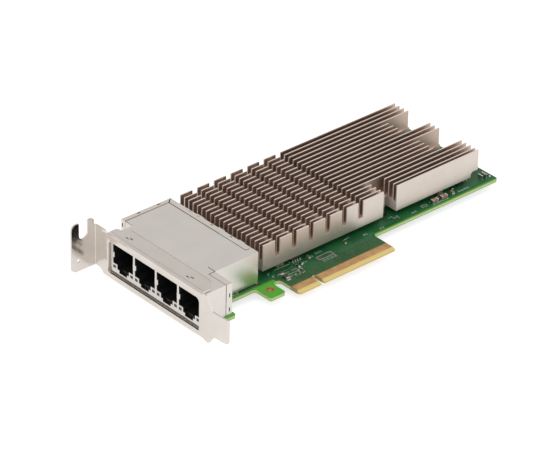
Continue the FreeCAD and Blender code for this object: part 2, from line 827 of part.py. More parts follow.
def make_front_shield():
    """Tinned front shield: port face, top sheet, both front side walls and the near rear wall."""
    body = new_body("jack_front_shield")
    wall = D["shield"]
    strip_front = D["jack_rear"] - D["rear_strip"]
    strip_far = D["jack_rear_far"] - D["far_strip"]
    outline = [
        (jack_face, D["jack_near"]),
        (side_strip_front - D["seam_gap"], D["jack_near"]),
        (side_strip_front - D["seam_gap"], D["jack_rear_near"]),
        (D["jack_rear"], D["jack_rear_near"]),
        (D["jack_rear"], D["seam_near"]),
        (strip_front, D["seam_near"]),
        (strip_front, strip_far),
        (D["jack_neck"], strip_far),
        (D["jack_neck"], D["jack_far"]),
        (jack_face, D["jack_far"]),
    ]
    pad(body, "skin", "XY_Plane", 0, D["jack_high"], [outline])
    inner_near = D["jack_rear_near"] + wall
    inside = [
        (jack_face + wall, D["jack_near"] + wall),
        (side_strip_rear, D["jack_near"] + wall),
        (side_strip_rear, inner_near),
        (D["jack_rear"] + wall, inner_near),
        (D["jack_rear"] + wall, D["jack_rear_far"]),
        (D["jack_neck"] + wall, D["jack_rear_far"]),
        (D["jack_neck"] + wall, D["jack_far"] - wall),
        (jack_face + wall, D["jack_far"] - wall),
    ]
    pocket(body, "hollow", "XY_Plane", 0, D["jack_high"] - wall, [inside])
    pad(body, "chin", "XY_Plane", D["chin_low"], 0,
        [box_corners(jack_face, D["chin_near"], jack_face + wall, D["chin_far"])])
    for name, profile in (("port", port_profile), ("mouth", mouth_profile)):
        throat = pocket(body, name, "YZ_Plane", jack_face - wall, jack_face + wall,
                        [profile(D["port_first"], D["shield_gap"])])
        repeat(body, name + "s", throat, "Y_Axis", D["port_pitch"], D["port_count"])
    lights = [light_corners(D["port_first"], side, 0) for side in (-1, 1)]
    pane = pocket(body, "pane", "YZ_Plane", jack_face - wall, jack_face + wall, lights)
    repeat(body, "panes", pane, "Y_Axis", D["port_pitch"], D["port_count"])
    for side in (-1, 1):
        cavity_wall = D["port_first"] + D["port_width"] / 2 * side
        rim = cavity_wall + D["shield_gap"] * side
        tip = cavity_wall - D["spring_rise"] * side
        tongue = [
            (jack_face, rim),
            (jack_face, cavity_wall),
            (jack_face + D["spring_rise"], tip),
            (jack_face + D["spring_reach"] - D["spring_rise"], tip),
            (jack_face + D["spring_reach"], cavity_wall),
            (jack_face + wall, cavity_wall),
            (jack_face + wall, rim),
        ]
        name = "spring_%s" % ("near" if side < 0 else "far")
        spring = pad(body, name, "XY_Plane", D["spring_low"], D["spring_high"], [tongue])
        repeat(body, name + "s", spring, "Y_Axis", D["port_pitch"], D["port_count"])
    return body


def make_rear_shield():
    """Tinned rear shield: rear and far walls with strips folded onto the top, front return included."""
    body = new_body("jack_rear_shield")
    wall = D["shield"]
    seam = D["seam_gap"]
    strip_front = D["jack_rear"] - D["rear_strip"] + seam
    strip_far = D["jack_rear_far"] - D["far_strip"] + seam
    near_end = D["seam_near"] + seam
    outline = [
        (strip_front, near_end),
        (D["jack_rear"], near_end),
        (D["jack_rear"], D["jack_rear_far"]),
        (D["jack_neck"], D["jack_rear_far"]),
        (D["jack_neck"], strip_far),
        (strip_front, strip_far),
    ]
    pad(body, "skin", "XY_Plane", 0, D["jack_high"], [outline])
    inside = [
        (strip_front - wall, near_end - wall),
        (D["jack_rear"] - wall, near_end - wall),
        (D["jack_rear"] - wall, D["jack_rear_far"] - wall),
        (D["jack_neck"] + wall, D["jack_rear_far"] - wall),
        (D["jack_neck"] + wall, strip_far - wall),
        (strip_front - wall, strip_far - wall),
    ]
    pocket(body, "hollow", "XY_Plane", 0, D["jack_high"] - wall, [inside])
    middle = D["jack_rear_far"] - D["return_slit_inset"]
    half = D["slit_width"] / 2
    pocket(body, "return_slit", "YZ_Plane", D["jack_neck"] - wall, D["jack_neck"] + wall,
           [box_corners(middle - half, D["return_slit"], middle + half, D["return_slit"] + D["slit_length"])])
    gap = D["mitre_slit"]
    mitre = [
        (strip_front - gap, strip_far - gap),
        (strip_front + gap, strip_far - gap),
        (D["jack_rear"] - wall, D["jack_rear_far"] - wall - gap),
        (D["jack_rear"] - wall, D["jack_rear_far"] - wall),
        (D["jack_rear"] - wall - gap, D["jack_rear_far"] - wall),
        (strip_front - gap, strip_far + gap),
    ]
    pocket(body, "mitre", "XY_Plane", D["jack_high"] - wall * 2, D["jack_high"] + wall, [mitre])
    return body


def make_side_shield():
    """Shield strip round the near step of the jack, with two vertical slits."""
    body = new_body("jack_side_shield")
    wall = D["shield"]
    front = side_strip_front
    far = D["jack_rear_near"] - D["seam_gap"]
    pad(body, "skin", "XY_Plane", 0, D["jack_high"],
        [box_corners(front, D["jack_near"], side_strip_rear, far)])
    pocket(body, "hollow", "XY_Plane", 0, D["jack_high"] - wall,
           [box_corners(front - wall, D["jack_near"] + wall, side_strip_rear - wall, far + wall)])
    middle = (front + side_strip_rear) / 2 + D["side_slit_shift"]
    half = D["slit_width"] / 2
    slits = [box_corners(middle - half, D[low], middle + half, D[low] + D["slit_length"])
             for low in ("side_slit_low", "side_slit_high")]
    pocket(body, "slits", "XZ_Plane", D["jack_near"] - wall, D["jack_near"] + wall, slits)
    return body


def make_port_wires(number):
    """The eight sprung contact wires of one port, rooted in the rear wall of its cavity."""
    body = new_body("jack_contacts_%d" % number)
    body.AllowCompound = True
    centre = D["port_first"] + D["port_pitch"] * (number - 1)
    low = D["wire_low"]
    high = D["wire_high"]
    thick = D["wire"]
    knee = port_back - D["wire_tail"]
    tip = port_back - D["wire_reach"]
    bent = [
        (tip, high),
        (knee, low),
        (port_back, low),
        (port_back, low + thick),
        (knee, low + thick),
        (tip, high + thick),
    ]
    first = centre - D["wire_pitch"] * (D["wire_count"] - 1) / 2
    wire = pad(body, "wire", "XZ_Plane", first - thick / 2, first + thick / 2, [bent])
    repeat(body, "wires", wire, "Y_Axis", D["wire_pitch"], D["wire_count"])
    return body


def make_port_lights(number):
    """The two light pipes of one port."""
    body = new_body("port_lights_%d" % number)
    body.AllowCompound = True
    centre = D["port_first"] + D["port_pitch"] * (number - 1)
    bars = [light_corners(centre, side, -D["seam_gap"] / 4) for side in (-1, 1)]
    pad(body, "bars", "YZ_Plane", jack_face + D["light_inset"], port_back, bars)
    return body


def make_pins():
    """Two rows of square pins from the magnetics block through the board."""
    body = new_body("jack_board_pins")
    body.AllowCompound = True
    half = D["pin"] / 2
    for row in range(2):
        x = D["pin_first_x"] + D["pin_row_spacing"] * row
        corners = box_corners(x - half, D["pin_first_y"] - half, x + half, D["pin_first_y"] + half)
        low = board_under - D["pin_tail"]
        pin = pad(body, "pin_%d" % row, "XY_Plane", low, D["seam_gap"], [corners])
        repeat(body, "pins_%d" % row, pin, "Y_Axis", D["pin_pitch"], D["pin_count"])
    return body


def make_solder_joints():
    """Solder joints round the pins on the underside of the board."""
    body = new_body("jack_solder_joints")
    body.AllowCompound = True
    half = D["pin"] / 2
    low = board_under - D["solder_height"]
    for row in range(2):
        x = D["pin_first_x"] + D["pin_row_spacing"] * row
        y = D["pin_first_y"]
        joint = pad(body, "joint_%d" % row, "XY_Plane", low, board_under, [octagon(x, y, D["solder_width"])])
        repeat(body, "joints_%d" % row, joint, "Y_Axis", D["pin_pitch"], D["pin_count"])
        passage = pocket(body, "pin_passage_%d" % row, "XY_Plane", low, board_under,
                         [box_corners(x - half, y - half, x + half, y + half)])
        repeat(body, "pin_passages_%d" % row, passage, "Y_Axis", D["pin_pitch"], D["pin_count"])
    return body


# ---------------------------------------------------------------- heat sink

def fin_comb():
    """Side profile of one fin, cut into short teeth near the jack and long behind them."""
    front = D["sink_front"]
    floor = D["sink_floor"]
    high = D["sink_high"]
    corners = [(front, floor - D["fin_root"])]
    tooth = front
    for number in range(1, int(D["cross_count"].value) + 1):
        cut_end = front + D["cross_pitch"] * number
        cut_start = cut_end - D["cross_cut"]
        corners += [(tooth, high), (cut_start, high), (cut_start, floor), (cut_end, floor)]
        tooth = cut_end
    corners += [(tooth, high), (D["sink_rear"], high), (D["sink_rear"], floor - D["fin_root"])]
    corners.reverse()
    return corners


def make_heat_sink():
    """One-piece heat sink: base with bosses and slots, combed fins, and clearance notches."""
    body = new_body("heat_sink")
    front = D["sink_front"]
    rear = D["sink_rear"]
    floor = D["sink_floor"]
    beyond = D["fin"]
    side_notch = box_corners(D["side_notch_front"], D["sink_near"] - beyond, D["side_notch_rear"],
                             fin_near_face(SIDE_NOTCH_FIN))
    notches = [side_notch]
    slots = [side_notch]
    for before, after in REAR_NOTCH_FINS:
        near = fin_far_face(after)
        far = fin_near_face(before)
        inset = D["rear_slot_inset"]
        notches.append(box_corners(D["rear_notch_front"], near, rear + beyond, far))
        slots.append([
            (D["rear_slot_front"], near + inset, D["slot_round"]),
            (rear + beyond, near + inset),
            (rear + beyond, far - inset),
            (D["rear_slot_front"], far - inset, D["slot_round"]),
        ])
    pad(body, "base", "XY_Plane", D["sink_low"], floor,
        [box_corners(front, D["sink_near"], rear, D["sink_far"])])
    pocket(body, "base_slots", "XY_Plane", D["sink_low"], floor, slots)
    undercut = [
        (D["undercut_front"], D["sink_low"] - beyond),
        (rear + beyond, D["sink_low"] - beyond),
        (rear + beyond, D["undercut_high"]),
        (D["undercut_front"], D["undercut_high"], D["slot_round"]),
    ]
    pocket(body, "undercut", "XZ_Plane", D["sink_near"] - beyond, D["sink_far"] + beyond, [undercut])
    pad(body, "bosses", "XY_Plane", 0, D["sink_low"],
        circles=[(x, y, D["boss"]) for x, y in SINK_SCREWS])
    pocket(body, "taps", "XY_Plane", 0, floor - D["tap_cover"],
           circles=[(x, y, D["sink_screw"]) for x, y in SINK_SCREWS])
    pad(body, "near_fin", "XZ_Plane", D["sink_near"], D["sink_near"] + D["fin"], [fin_comb()])
    fin = pad(body, "fin", "XZ_Plane", fin_near_face(1), D["sink_far"], [fin_comb()])
    repeat(body, "fins", fin, "Y_Axis", D["fin_pitch"], D["fin_count"], backwards=True)
    pocket(body, "fin_notches", "XY_Plane", floor - D["fin_root"], D["sink_high"] + beyond, notches)
    return body


def make_screw(name, place, kind, head_face):
    """Pan-head screw driven from the solder side, with a cross recess in its head."""
    body = new_body(name)
    x, y = place
    head = D[kind + "_head"]
    head_end = head_face - D["screw_head_high"]
    pad(body, "head", "XY_Plane", head_end, head_face, circles=[(x, y, head)])
    pad(body, "shank", "XY_Plane", head_face, D[kind + "_tip"], circles=[(x, y, D[kind])])
    half = D["recess_width"] / 2
    span = head * D["recess_share"] / 2
    cross = [
        (x - half, y - span), (x + half, y - span), (x + half, y - half), (x + span, y - half),
        (x + span, y + half), (x + half, y + half), (x + half, y + span), (x - half, y + span),
        (x - half, y + half), (x - span, y + half), (x - span, y - half), (x - half, y - half),
    ]
    pocket(body, "recess", "XY_Plane", head_end, head_end + D["recess_depth"], [cross])
    return body


# ---------------------------------------------------------------- chips and tall parts

def make_package(name, x):
    """Large flip-chip package: substrate and raised lid."""
    body = new_body(name)
    half = D["package"] / 2
    lid = D["package_lid"] / 2
    y = D["chip_y"]
    pad(body, "substrate", "XY_Plane", 0, D["package_base"],
        [box_corners(x - half, y - half, x + half, y + half)])
    pad(body, "lid", "XY_Plane", D["package_base"], D["package_high"],
        [box_corners(x - lid, y - lid, x + lid, y + lid)])
    return body


def make_box(name, left, low, bottom, right, high, top):
    """Rectangular piece between two opposite corners."""
    left, low, bottom = dim(left), dim(low), dim(bottom)
    box = doc.addObject("Part::Box", name)
    box.Label = name
    bind(box, "Length", dim(right) - left)
    bind(box, "Width", dim(high) - low)
    bind(box, "Height", dim(top) - bottom)
    bind(box, "Placement.Base.x", left)
    bind(box, "Placement.Base.y", low)
    bind(box, "Placement.Base.z", bottom)
    return box


def make_thermal_pad(name, x):
    """Thermal pad between a package lid and the heat sink."""
    half = D["package_lid"] / 2 - D["pad_inset"]
    y = D["chip_y"]
    return make_box(name, x - half, y - half, D["package_high"], x + half, y + half, D["sink_low"])


def make_memory():
    """Eight-lead memory chip and its gull-wing leads."""
    x = D["memory_x"]
    y = D["memory_y"]
    chip = make_box("memory_chip", x, y, D["memory_low"], x + D["memory_length"], y + D["memory_width"],
                    D["memory_high"])
    leads = new_body("memory_chip_leads")
    leads.AllowCompound = True
    first = x + (D["memory_length"] - D["memory_pitch"] * (D["memory_leads"] - 1)) / 2
    half = D["lead_width"] / 2
    thick = D["lead_thickness"]
    rise = D["lead_rise"]
    shoulder = D["lead_shoulder"]
    for side, edge in ((-1, y), (1, y + D["memory_width"])):
        knee = edge + shoulder * side
        foot = edge + D["lead_reach"] * side
        wing = [
            (edge, rise),
            (edge, rise + thick),
            (knee + thick * side, rise + thick),
            (knee + thick * side, thick),
            (foot, thick),
            (foot, 0),
            (knee, 0),
            (knee, rise),
        ]
        name = "lead_near" if side < 0 else "lead_far"
        lead = pad(leads, name, "YZ_Plane", first - half, first + half, [wing])
        repeat(leads, name + "s", lead, "X_Axis", D["memory_pitch"], D["memory_leads"])
    return [chip, leads]


def make_can_capacitor():
    """Upright aluminium capacitor and its square plastic base."""
    x = D["can_x"]
    y = D["can_y"]
    half = D["can_base"] / 2
    base = new_body("can_capacitor_base")
    corners = [
        (x - half, y - half, D["can_base_round"]),
        (x + half, y - half, D["can_base_corner"]),
        (x + half, y + half, D["can_base_corner"]),
        (x - half, y + half, D["can_base_round"]),
    ]
    pad(base, "plinth", "XY_Plane", 0, D["can_base_high"], [corners])
    can = new_body("can_capacitor")
    shell = pad(can, "shell", "XY_Plane", D["can_base_high"], D["can_high"], circles=[(x, y, D["can"])])
    rim = [number for number, edge in enumerate(shell.Shape.Edges, start=1)
           if edge.BoundBox.ZMin > D["can_high"].value - 0.01]
    chamfer = can.newObject("PartDesign::Chamfer", "rim")
    chamfer.Base = (shell, ["Edge%d" % number for number in rim])
    bind(chamfer, "Size", D["can_rim"])
    doc.recompute()
    return [base, can]


def make_coil(number, before, after):
    """Moulded power inductor in one rear slot of the heat sink."""
    body = new_body("power_inductor_%d" % number)
    y = (fin_far_face(after) + fin_near_face(before)) / 2
    x = D["coil_x"] + D["coil"] / 2
    half = D["coil"] / 2
    pad(body, "block", "XY_Plane", 0, D["coil_high"],
        [box_corners(x - half, y - half, x + half, y + half, D["coil_round"])])
    return body


# ---------------------------------------------------------------- small chip parts

# Two-terminal chip parts on the component face: kind, x, y, along X or Y,
# length, width, height.
CHIP_PARTS = [
    ("capacitor", 75.9, 16.0, "X", 3.2, 1.6, 1.6),
    ("capacitor", 81.0, 16.0, "X", 3.2, 1.6, 1.6),
    ("capacitor", 81.4, 19.4, "X", 3.2, 1.6, 1.6),
    ("capacitor", 86.6, 17.0, "Y", 2.0, 1.25, 0.9),
    ("capacitor", -5.2, 20.4, "X", 3.2, 1.6, 1.3),
    ("capacitor", 7.6, 17.4, "Y", 1.6, 0.8, 0.8),
    ("resistor", 88.8, 19.6, "Y", 1.6, 0.8, 0.45),
    ("resistor", 97.4, 20.6, "X", 1.6, 0.8, 0.45),
    ("resistor", 107.9, 17.2, "Y", 1.6, 0.8, 0.45),
    ("resistor", 107.6, 20.0, "Y", 1.6, 0.8, 0.45),
    ("resistor", 0.0, 15.2, "Y", 2.0, 0.8, 0.45),
    ("resistor", 2.2, 15.8, "Y", 1.6, 0.8, 0.45),
    ("resistor", -1.2, 12.4, "X", 2.0, 0.9, 0.45),
    ("resistor", 26.2, 16.4, "Y", 1.6, 0.8, 0.45),
    ("fuse", -9.4, 12.0, "Y", 4.4, 1.8, 0.8),
    ("diode", 105.2, 18.1, "X", 2.6, 2.6, 1.5),
]

# Ceramic capacitors of the solder side, in rows behind each large chip.
UNDERSIDE_ROWS = 2
UNDERSIDE_COLUMNS = 4
UNDERSIDE_SPACING = 4.2
UNDERSIDE_LENGTH = 1.6
UNDERSIDE_WIDTH = 0.8

# Width and height of a chip part's middle, as shares of those of its plated ends.
MIDDLE_WIDTH = 0.94
MIDDLE_HEIGHT = 0.95


def chip_boxes(x, y, along, length, width, low, high):
    """Boxes of one chip part: its middle, and its two plated ends."""
    end = length * SIZES["end_share"]
    half = length / 2
    spans = {"body": [(-half + end, half - end)], "ends": [(-half, -half + end), (half - end, half)]}
    boxes = {}
    for kind, pieces in spans.items():
        boxes[kind] = []
        for start, stop in pieces:
            across = width if kind == "ends" else width * MIDDLE_WIDTH
            depth = (high - low) * (1 if kind == "ends" else MIDDLE_HEIGHT)
            base = low if low >= 0 else high - depth
            if along == "X":
                corner = (x + start, y - across / 2, base)
                spread = (stop - start, across, depth)
            else:
                corner = (x - across / 2, y + start, base)
                spread = (across, stop - start, depth)
            boxes[kind].append(Part.makeBox(*spread, FreeCAD.Vector(*corner)))
    return boxes


def make_chip_parts():
    """Chip parts of both faces, grouped by what they are made of."""
    groups = {}
    for kind, x, y, along, length, width, height in CHIP_PARTS:
        boxes = chip_boxes(x, y, along, length, width, 0, height)
        groups.setdefault("chip_%s_bodies" % kind, []).extend(boxes["body"])
        groups.setdefault("chip_terminals", []).extend(boxes["ends"])
    under = board_under.value
    for chip in ("controller_x", "phy_x"):
        for row in range(UNDERSIDE_ROWS):
            for column in range(UNDERSIDE_COLUMNS):
                x = D[chip].value + (column - (UNDERSIDE_COLUMNS - 1) / 2) * UNDERSIDE_SPACING
                y = D["chip_y"].value + (row - (UNDERSIDE_ROWS - 1) / 2) * UNDERSIDE_SPACING
                boxes = chip_boxes(x, y, "Y", UNDERSIDE_LENGTH, UNDERSIDE_WIDTH,
                                   under - UNDERSIDE_WIDTH, under)
                groups.setdefault("underside_capacitor_bodies", []).extend(boxes["body"])
                groups.setdefault("underside_terminals", []).extend(boxes["ends"])
    made = []
    for name, solids in groups.items():
        feature = doc.addObject("Part::Feature", name)
        feature.Label = name
        feature.Shape = Part.makeCompound(solids)
        feature.Placement = FreeCAD.Placement()
        made.append(feature)
    return made


# ---------------------------------------------------------------- the whole card

def make_card():
    """Build every sub-part and return them in order."""
    nodes = [
        make_board(),
        make_contacts("edge_contacts_front", dim(0)),
        make_contacts("edge_contacts_back", board_under - D["contact_thickness"]),
        make_hook_plating(),
        make_bracket(),
        make_housing(),
        make_module(),
        make_front_shield(),
        make_rear_shield(),
        make_side_shield(),
    ]
    for number in range(1, int(D["port_count"].value) + 1):
        nodes.append(make_port_wires(number))
        nodes.append(make_port_lights(number))
    nodes.append(make_pins())
    nodes.append(make_solder_joints())
    nodes.append(make_heat_sink())
    for number, place in enumerate(SINK_SCREWS, start=1):
        nodes.append(make_screw("heat_sink_screw_%d" % number, place, "sink_screw", board_under))
    for number, place in enumerate(PEGS, start=1):
        nodes.append(make_screw("bracket_screw_%d" % number, place, "lug_screw", lug_face))
    nodes.append(make_package("controller_chip", D["controller_x"]))
    nodes.append(make_package("phy_chip", D["phy_x"]))
    nodes.append(make_thermal_pad("controller_thermal_pad", D["controller_x"]))
    nodes.append(make_thermal_pad("phy_thermal_pad", D["phy_x"]))
    nodes += make_memory()
    nodes.append(make_box("regulator_chip", D["regulator_x"], D["regulator_y"], 0,
                          D["regulator_x"] + D["regulator"], D["regulator_y"] + D["regulator"],
                          D["regulator_high"]))
    nodes += make_can_capacitor()
    for number, (before, after) in enumerate(REAR_NOTCH_FINS, start=1):
        nodes.append(make_coil(number, before, after))
    nodes += make_chip_parts()
    doc.recompute()
    return nodes


def check_document(nodes):
    """Stop on a failed object or on an unusable shape."""
    for thing in doc.Objects:
        if any(word in thing.State for word in ("Invalid", "Error")):
            raise RuntimeError("failed object: %s %s" % (thing.Name, thing.State))
    for node in nodes:
        shape = node.Shape
        if shape.isNull() or not shape.isValid() or not shape.Solids:
            raise RuntimeError("unusable shape: " + node.Label)


def export(nodes):
    """Write one STEP file per node, named by its label."""
    os.makedirs("parts", exist_ok=True)
    for node in nodes:
        node.Shape.exportStep("parts/%s.step" % node.Label)
        box = node.Shape.BoundBox
        print("%-28s solids %3d  volume %9.2f  x %7.2f %7.2f  y %6.2f %6.2f  z %6.2f %6.2f" % (
            node.Label, len(node.Shape.Solids), node.Shape.Volume,
            box.XMin, box.XMax, box.YMin, box.YMax, box.ZMin, box.ZMax))


card = make_card()
check_document(card)
export(card)
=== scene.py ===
"""Looks of a low-profile network interface card: finishes, printed marks, small trim, camera and studio."""
import logging
import math
from dataclasses import dataclass, field
from enum import Enum
from functools import cache
from typing import Optional, Protocol, Sequence

import bmesh
import bpy
from mathutils import Matrix, Vector


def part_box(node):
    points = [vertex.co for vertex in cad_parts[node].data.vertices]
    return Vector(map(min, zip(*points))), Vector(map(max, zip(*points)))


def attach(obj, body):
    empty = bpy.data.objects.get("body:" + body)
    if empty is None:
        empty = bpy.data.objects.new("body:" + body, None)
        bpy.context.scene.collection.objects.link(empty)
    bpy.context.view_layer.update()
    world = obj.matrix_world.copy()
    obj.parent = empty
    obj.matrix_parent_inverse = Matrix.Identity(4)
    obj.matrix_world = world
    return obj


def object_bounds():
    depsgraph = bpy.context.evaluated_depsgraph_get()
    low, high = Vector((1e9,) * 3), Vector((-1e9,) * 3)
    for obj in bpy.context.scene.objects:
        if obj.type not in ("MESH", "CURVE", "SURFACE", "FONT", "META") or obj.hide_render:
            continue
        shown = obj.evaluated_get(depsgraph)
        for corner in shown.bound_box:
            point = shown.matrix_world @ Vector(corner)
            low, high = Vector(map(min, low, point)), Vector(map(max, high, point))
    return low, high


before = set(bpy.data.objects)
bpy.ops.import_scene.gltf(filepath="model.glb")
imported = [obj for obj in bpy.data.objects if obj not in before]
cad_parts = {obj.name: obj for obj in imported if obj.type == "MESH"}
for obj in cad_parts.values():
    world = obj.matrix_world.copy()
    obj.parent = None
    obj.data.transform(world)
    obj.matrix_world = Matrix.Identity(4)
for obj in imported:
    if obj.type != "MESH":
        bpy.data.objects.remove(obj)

log = logging.getLogger("network_card")

CAD_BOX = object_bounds()
MM = 0.001
ROOT = "root"
WELD_GAP = 0.000002
UPRIGHT = 0.7
NOISE_SPAN = (0.3, 0.7)
FLAT_ANGLE = math.radians(0.5)
EDGE_ANGLE = math.radians(40)

Colour = tuple[float, float, float]
Spot = tuple[float, float]
Levels = tuple[float, float]
Table = tuple[tuple[float, ...], ...]
Route = tuple[tuple[Spot, ...], int, Spot]
Area = tuple[Levels, Levels, int]
Lamp = tuple[str, tuple[float, float, float], float, float]
Socket = bpy.types.NodeSocket
Material = bpy.types.Material
Thing = bpy.types.Object


# ------------------------------------------------------------------ node trees

class Tree:
    """Builds the node tree of one material or world."""

    def __init__(self, name: str, world: Optional[bpy.types.World] = None) -> None:
        """Start an empty material, or empty the nodes of a world.

        Args:
            name: The material's name.
            world: The world, where the tree is a world's.
        """
        self.material = world or bpy.data.materials.new(name)
        self.material.use_nodes = True
        self.nodes = self.material.node_tree.nodes
        self.links = self.material.node_tree.links
        self.nodes.clear()

    def add(self, kind: str, **inputs: object) -> bpy.types.Node:
        """Add a node and set or link its inputs.

        Args:
            kind: The node's type, without its ShaderNode prefix.
            inputs: Input names, with underscores for spaces, and a value or an output socket for each.

        Returns:
            The new node.
        """
        node = self.nodes.new("ShaderNode" + kind)
        for name, value in inputs.items():
            self.put(node, name.replace("_", " "), value)
        return node

    def put(self, node: bpy.types.Node, name: str | int, value: object) -> None:
        """Set or link the input that has a name or number."""
        self.feed(node.inputs[name], value)

    def feed(self, socket: Socket, value: object) -> None:
        """Set an input socket, or link another socket to it.

        Args:
            socket: The input.
            value: A plain value or an output socket.
        """
        if isinstance(value, Socket):
            self.links.new(value, socket)
        elif isinstance(value, tuple) and len(value) == 3 and socket.type == "RGBA":
            socket.default_value = (*value, 1.0)
        else:
            socket.default_value = value

    def place(self, stretch: tuple[float, float, float] = (1.0, 1.0, 1.0)) -> Socket:
        """Give the position on the part in millimetres.

        Args:
            stretch: How much denser the pattern runs along each axis.

        Returns:
            The vector socket.
        """
        where = self.add("TexCoord")
        scaled = self.add("VectorMath")
        scaled.operation = "MULTIPLY"
        self.put(scaled, 0, where.outputs["Object"])
        self.put(scaled, 1, tuple(share / MM for share in stretch))
        return scaled.outputs["Vector"]

    def noise(self, place: Socket, scale: float, detail: float = 3.0, rough: float = 0.5) -> Socket:
        """Give a noise value near a half, with scale in cells per millimetre."""
        node = self.add("TexNoise", Vector=place, Scale=scale, Detail=detail, Roughness=rough)
        return node.outputs["Fac"]

    def ramp(self, value: Socket, stops: Sequence[tuple[float, Colour]]) -> Socket:
        """Turn a value into a colour.

        Args:
            value: The value socket.
            stops: Positions and their colours.

        Returns:
            The colour socket.
        """
        node = self.add("ValToRGB", Fac=value)
        band = node.color_ramp
        while len(band.elements) < len(stops):
            band.elements.new(0.5)
        for element, (spot, colour) in zip(band.elements, stops):
            element.position = spot
            element.color = (*colour, 1.0)
        return node.outputs["Color"]

    def tones(self, value: Socket, shade: Colour, tone: Colour) -> Socket:
        """Run from a shade to a tone over a noise value."""
        return self.ramp(value, list(zip(NOISE_SPAN, (shade, tone))))

    def spread(self, value: Socket, low: float, high: float, bottom: float = 0.0,
               top: float = 1.0) -> Socket:
        """Map low to bottom and high to top, clamped; low may be the higher of the two."""
        node = self.add("MapRange", Value=value, From_Min=low, From_Max=high, To_Min=bottom, To_Max=top)
        return node.outputs["Result"]

    def mix(self, share: object, first: object, second: object) -> Socket:
        """Mix two colours.

        Args:
            share: How much of the second, as a value or socket.
            first: First colour or socket.
            second: Second colour or socket.

        Returns:
            The colour socket.
        """
        node = self.nodes.new("ShaderNodeMix")
        node.data_type = "RGBA"
        for name, value in (("Factor_Float", share), ("A_Color", first), ("B_Color", second)):
            self.feed(next(socket for socket in node.inputs if socket.identifier == name), value)
        return next(socket for socket in node.outputs if socket.identifier == "Result_Color")

    def sum(self, operation: str, first: object, second: object) -> Socket:
        """Combine two values.

        Args:
            operation: The math node's operation.
            first: First value or socket.
            second: Second value or socket.

        Returns:
            The value socket.
        """
        node = self.nodes.new("ShaderNodeMath")
        node.operation = operation
        self.put(node, 0, first)
        self.put(node, 1, second)
        return node.outputs["Value"]

    def axis(self, vector: Socket, letter: str) -> Socket:
        """Give a vector's X, Y or Z."""
        return self.add("SeparateXYZ", Vector=vector).outputs[letter]

    def dots(self, place: Socket, scale: float, radius: float) -> Socket:
        """Give 1 inside scattered round dots; their radius is a share of their spacing."""
        cells = self.add("TexVoronoi", Vector=place, Scale=scale)
        return self.sum("LESS_THAN", cells.outputs["Distance"], radius)

    def facing(self, letter: str) -> Socket:
        """Give 1 on faces that look either way along X, Y or Z."""
        normal = self.axis(self.add("NewGeometry").outputs["True Normal"], letter)
        return self.sum("GREATER_THAN", self.sum("ABSOLUTE", normal, 0.0), UPRIGHT)

    def bump(self, height: Socket, depth_mm: float, strength: float = 1.0) -> Socket:
        """Turn a height from 0 to 1 into a normal."""
        node = self.add("Bump", Height=height, Strength=strength, Distance=depth_mm * MM)
        return node.outputs["Normal"]

    def surface(self, **inputs: object) -> Material:
        """Close the tree with a principled surface.

        Args:
            inputs: The surface's inputs.

        Returns:
            The finished material.
        """
        shader = self.add("BsdfPrincipled", **inputs)
        self.add("OutputMaterial", Surface=shader.outputs["BSDF"])
        return self.material


# ------------------------------------------------------------------ finishes

class Grain(Enum):
    """Which way a sheet or block was rolled, drawn or brushed."""

    NONE = (1.0, 1.0, 1.0)
    ALONG_X = (0.06, 1.0, 1.0)
    ALONG_Y = (1.0, 0.06, 1.0)


class Finish(Protocol):
    """What every finish offers."""

    name: str

    def make(self) -> Material:
        """Build the material."""


@dataclass(frozen=True)
class SatinMetal:
    """Plated, tinned or bare metal with grain, mottling, faint handling marks and hairline scratches painted
    lighter: partly wear, partly painted glint.
    """

    name: str
    tone: Colour
    shade: Colour
    roughness: float = 0.35
    grain: Grain = Grain.NONE
    grain_depth: float = 0.004
    mottle_scale: float = 0.12
    glint: float = 1.12
    scratch_share: float = 0.18
    smudges: Levels = (-0.01, 0.025)

    def make(self) -> Material:
        """Build the material.

        Returns:
            The material.
        """
        tree = Tree(self.name)
        place = tree.place()
        drawn = tree.place(self.grain.value)
        mottle = tree.noise(place, self.mottle_scale, 4.0)
        lines = tree.noise(drawn, 6.0, 3.0, 0.65)
        hairlines = tree.noise(tree.place((0.10, 0.9, 0.5)), 1.6, 2.0)
        scratch_glint_lines = tree.spread(hairlines, 0.67, 0.73)
        colour = tree.tones(mottle, self.shade, self.tone)
        # Painted glint: the hairline scratches are mixed towards a lighter tone; partly wear, partly painted
        # glint.
        glint_tone = tuple(min(1.0, part * self.glint) for part in self.tone)
        colour = tree.mix(tree.sum("MULTIPLY", scratch_glint_lines, self.scratch_share), colour, glint_tone)
        smudge = tree.spread(tree.noise(place, 0.35, 2.0), 0.35, 0.7, *self.smudges)
        worn = tree.sum("MULTIPLY_ADD", lines, 0.06)
        tree.put(worn.node, 2, self.roughness - 0.05)
        normal = tree.bump(lines, self.grain_depth, 0.25)
        rough = tree.sum("ADD", worn, smudge)
        return tree.surface(Base_Color=colour, Metallic=1.0, Roughness=rough, Normal=normal)


@dataclass(frozen=True)
class MouldedPlastic:
    """Moulded or glazed body with a fine texture."""

    name: str
    tone: Colour
    shade: Colour
    roughness: float = 0.5
    texture_depth: float = 0.01
    texture_scale: float = 4.0
    swing: float = 0.06

    def make(self) -> Material:
        """Build the material.

        Returns:
            The material.
        """
        tree = Tree(self.name)
        place = tree.place()
        grain = tree.noise(place, self.texture_scale, 3.0)
        colour = tree.tones(tree.noise(place, 0.6, 3.0), self.shade, self.tone)
        rough = tree.spread(grain, *NOISE_SPAN, self.roughness - self.swing, self.roughness + self.swing)
        normal = tree.bump(grain, self.texture_depth, 0.5)
        return tree.surface(Base_Color=colour, Roughness=rough, Normal=normal)


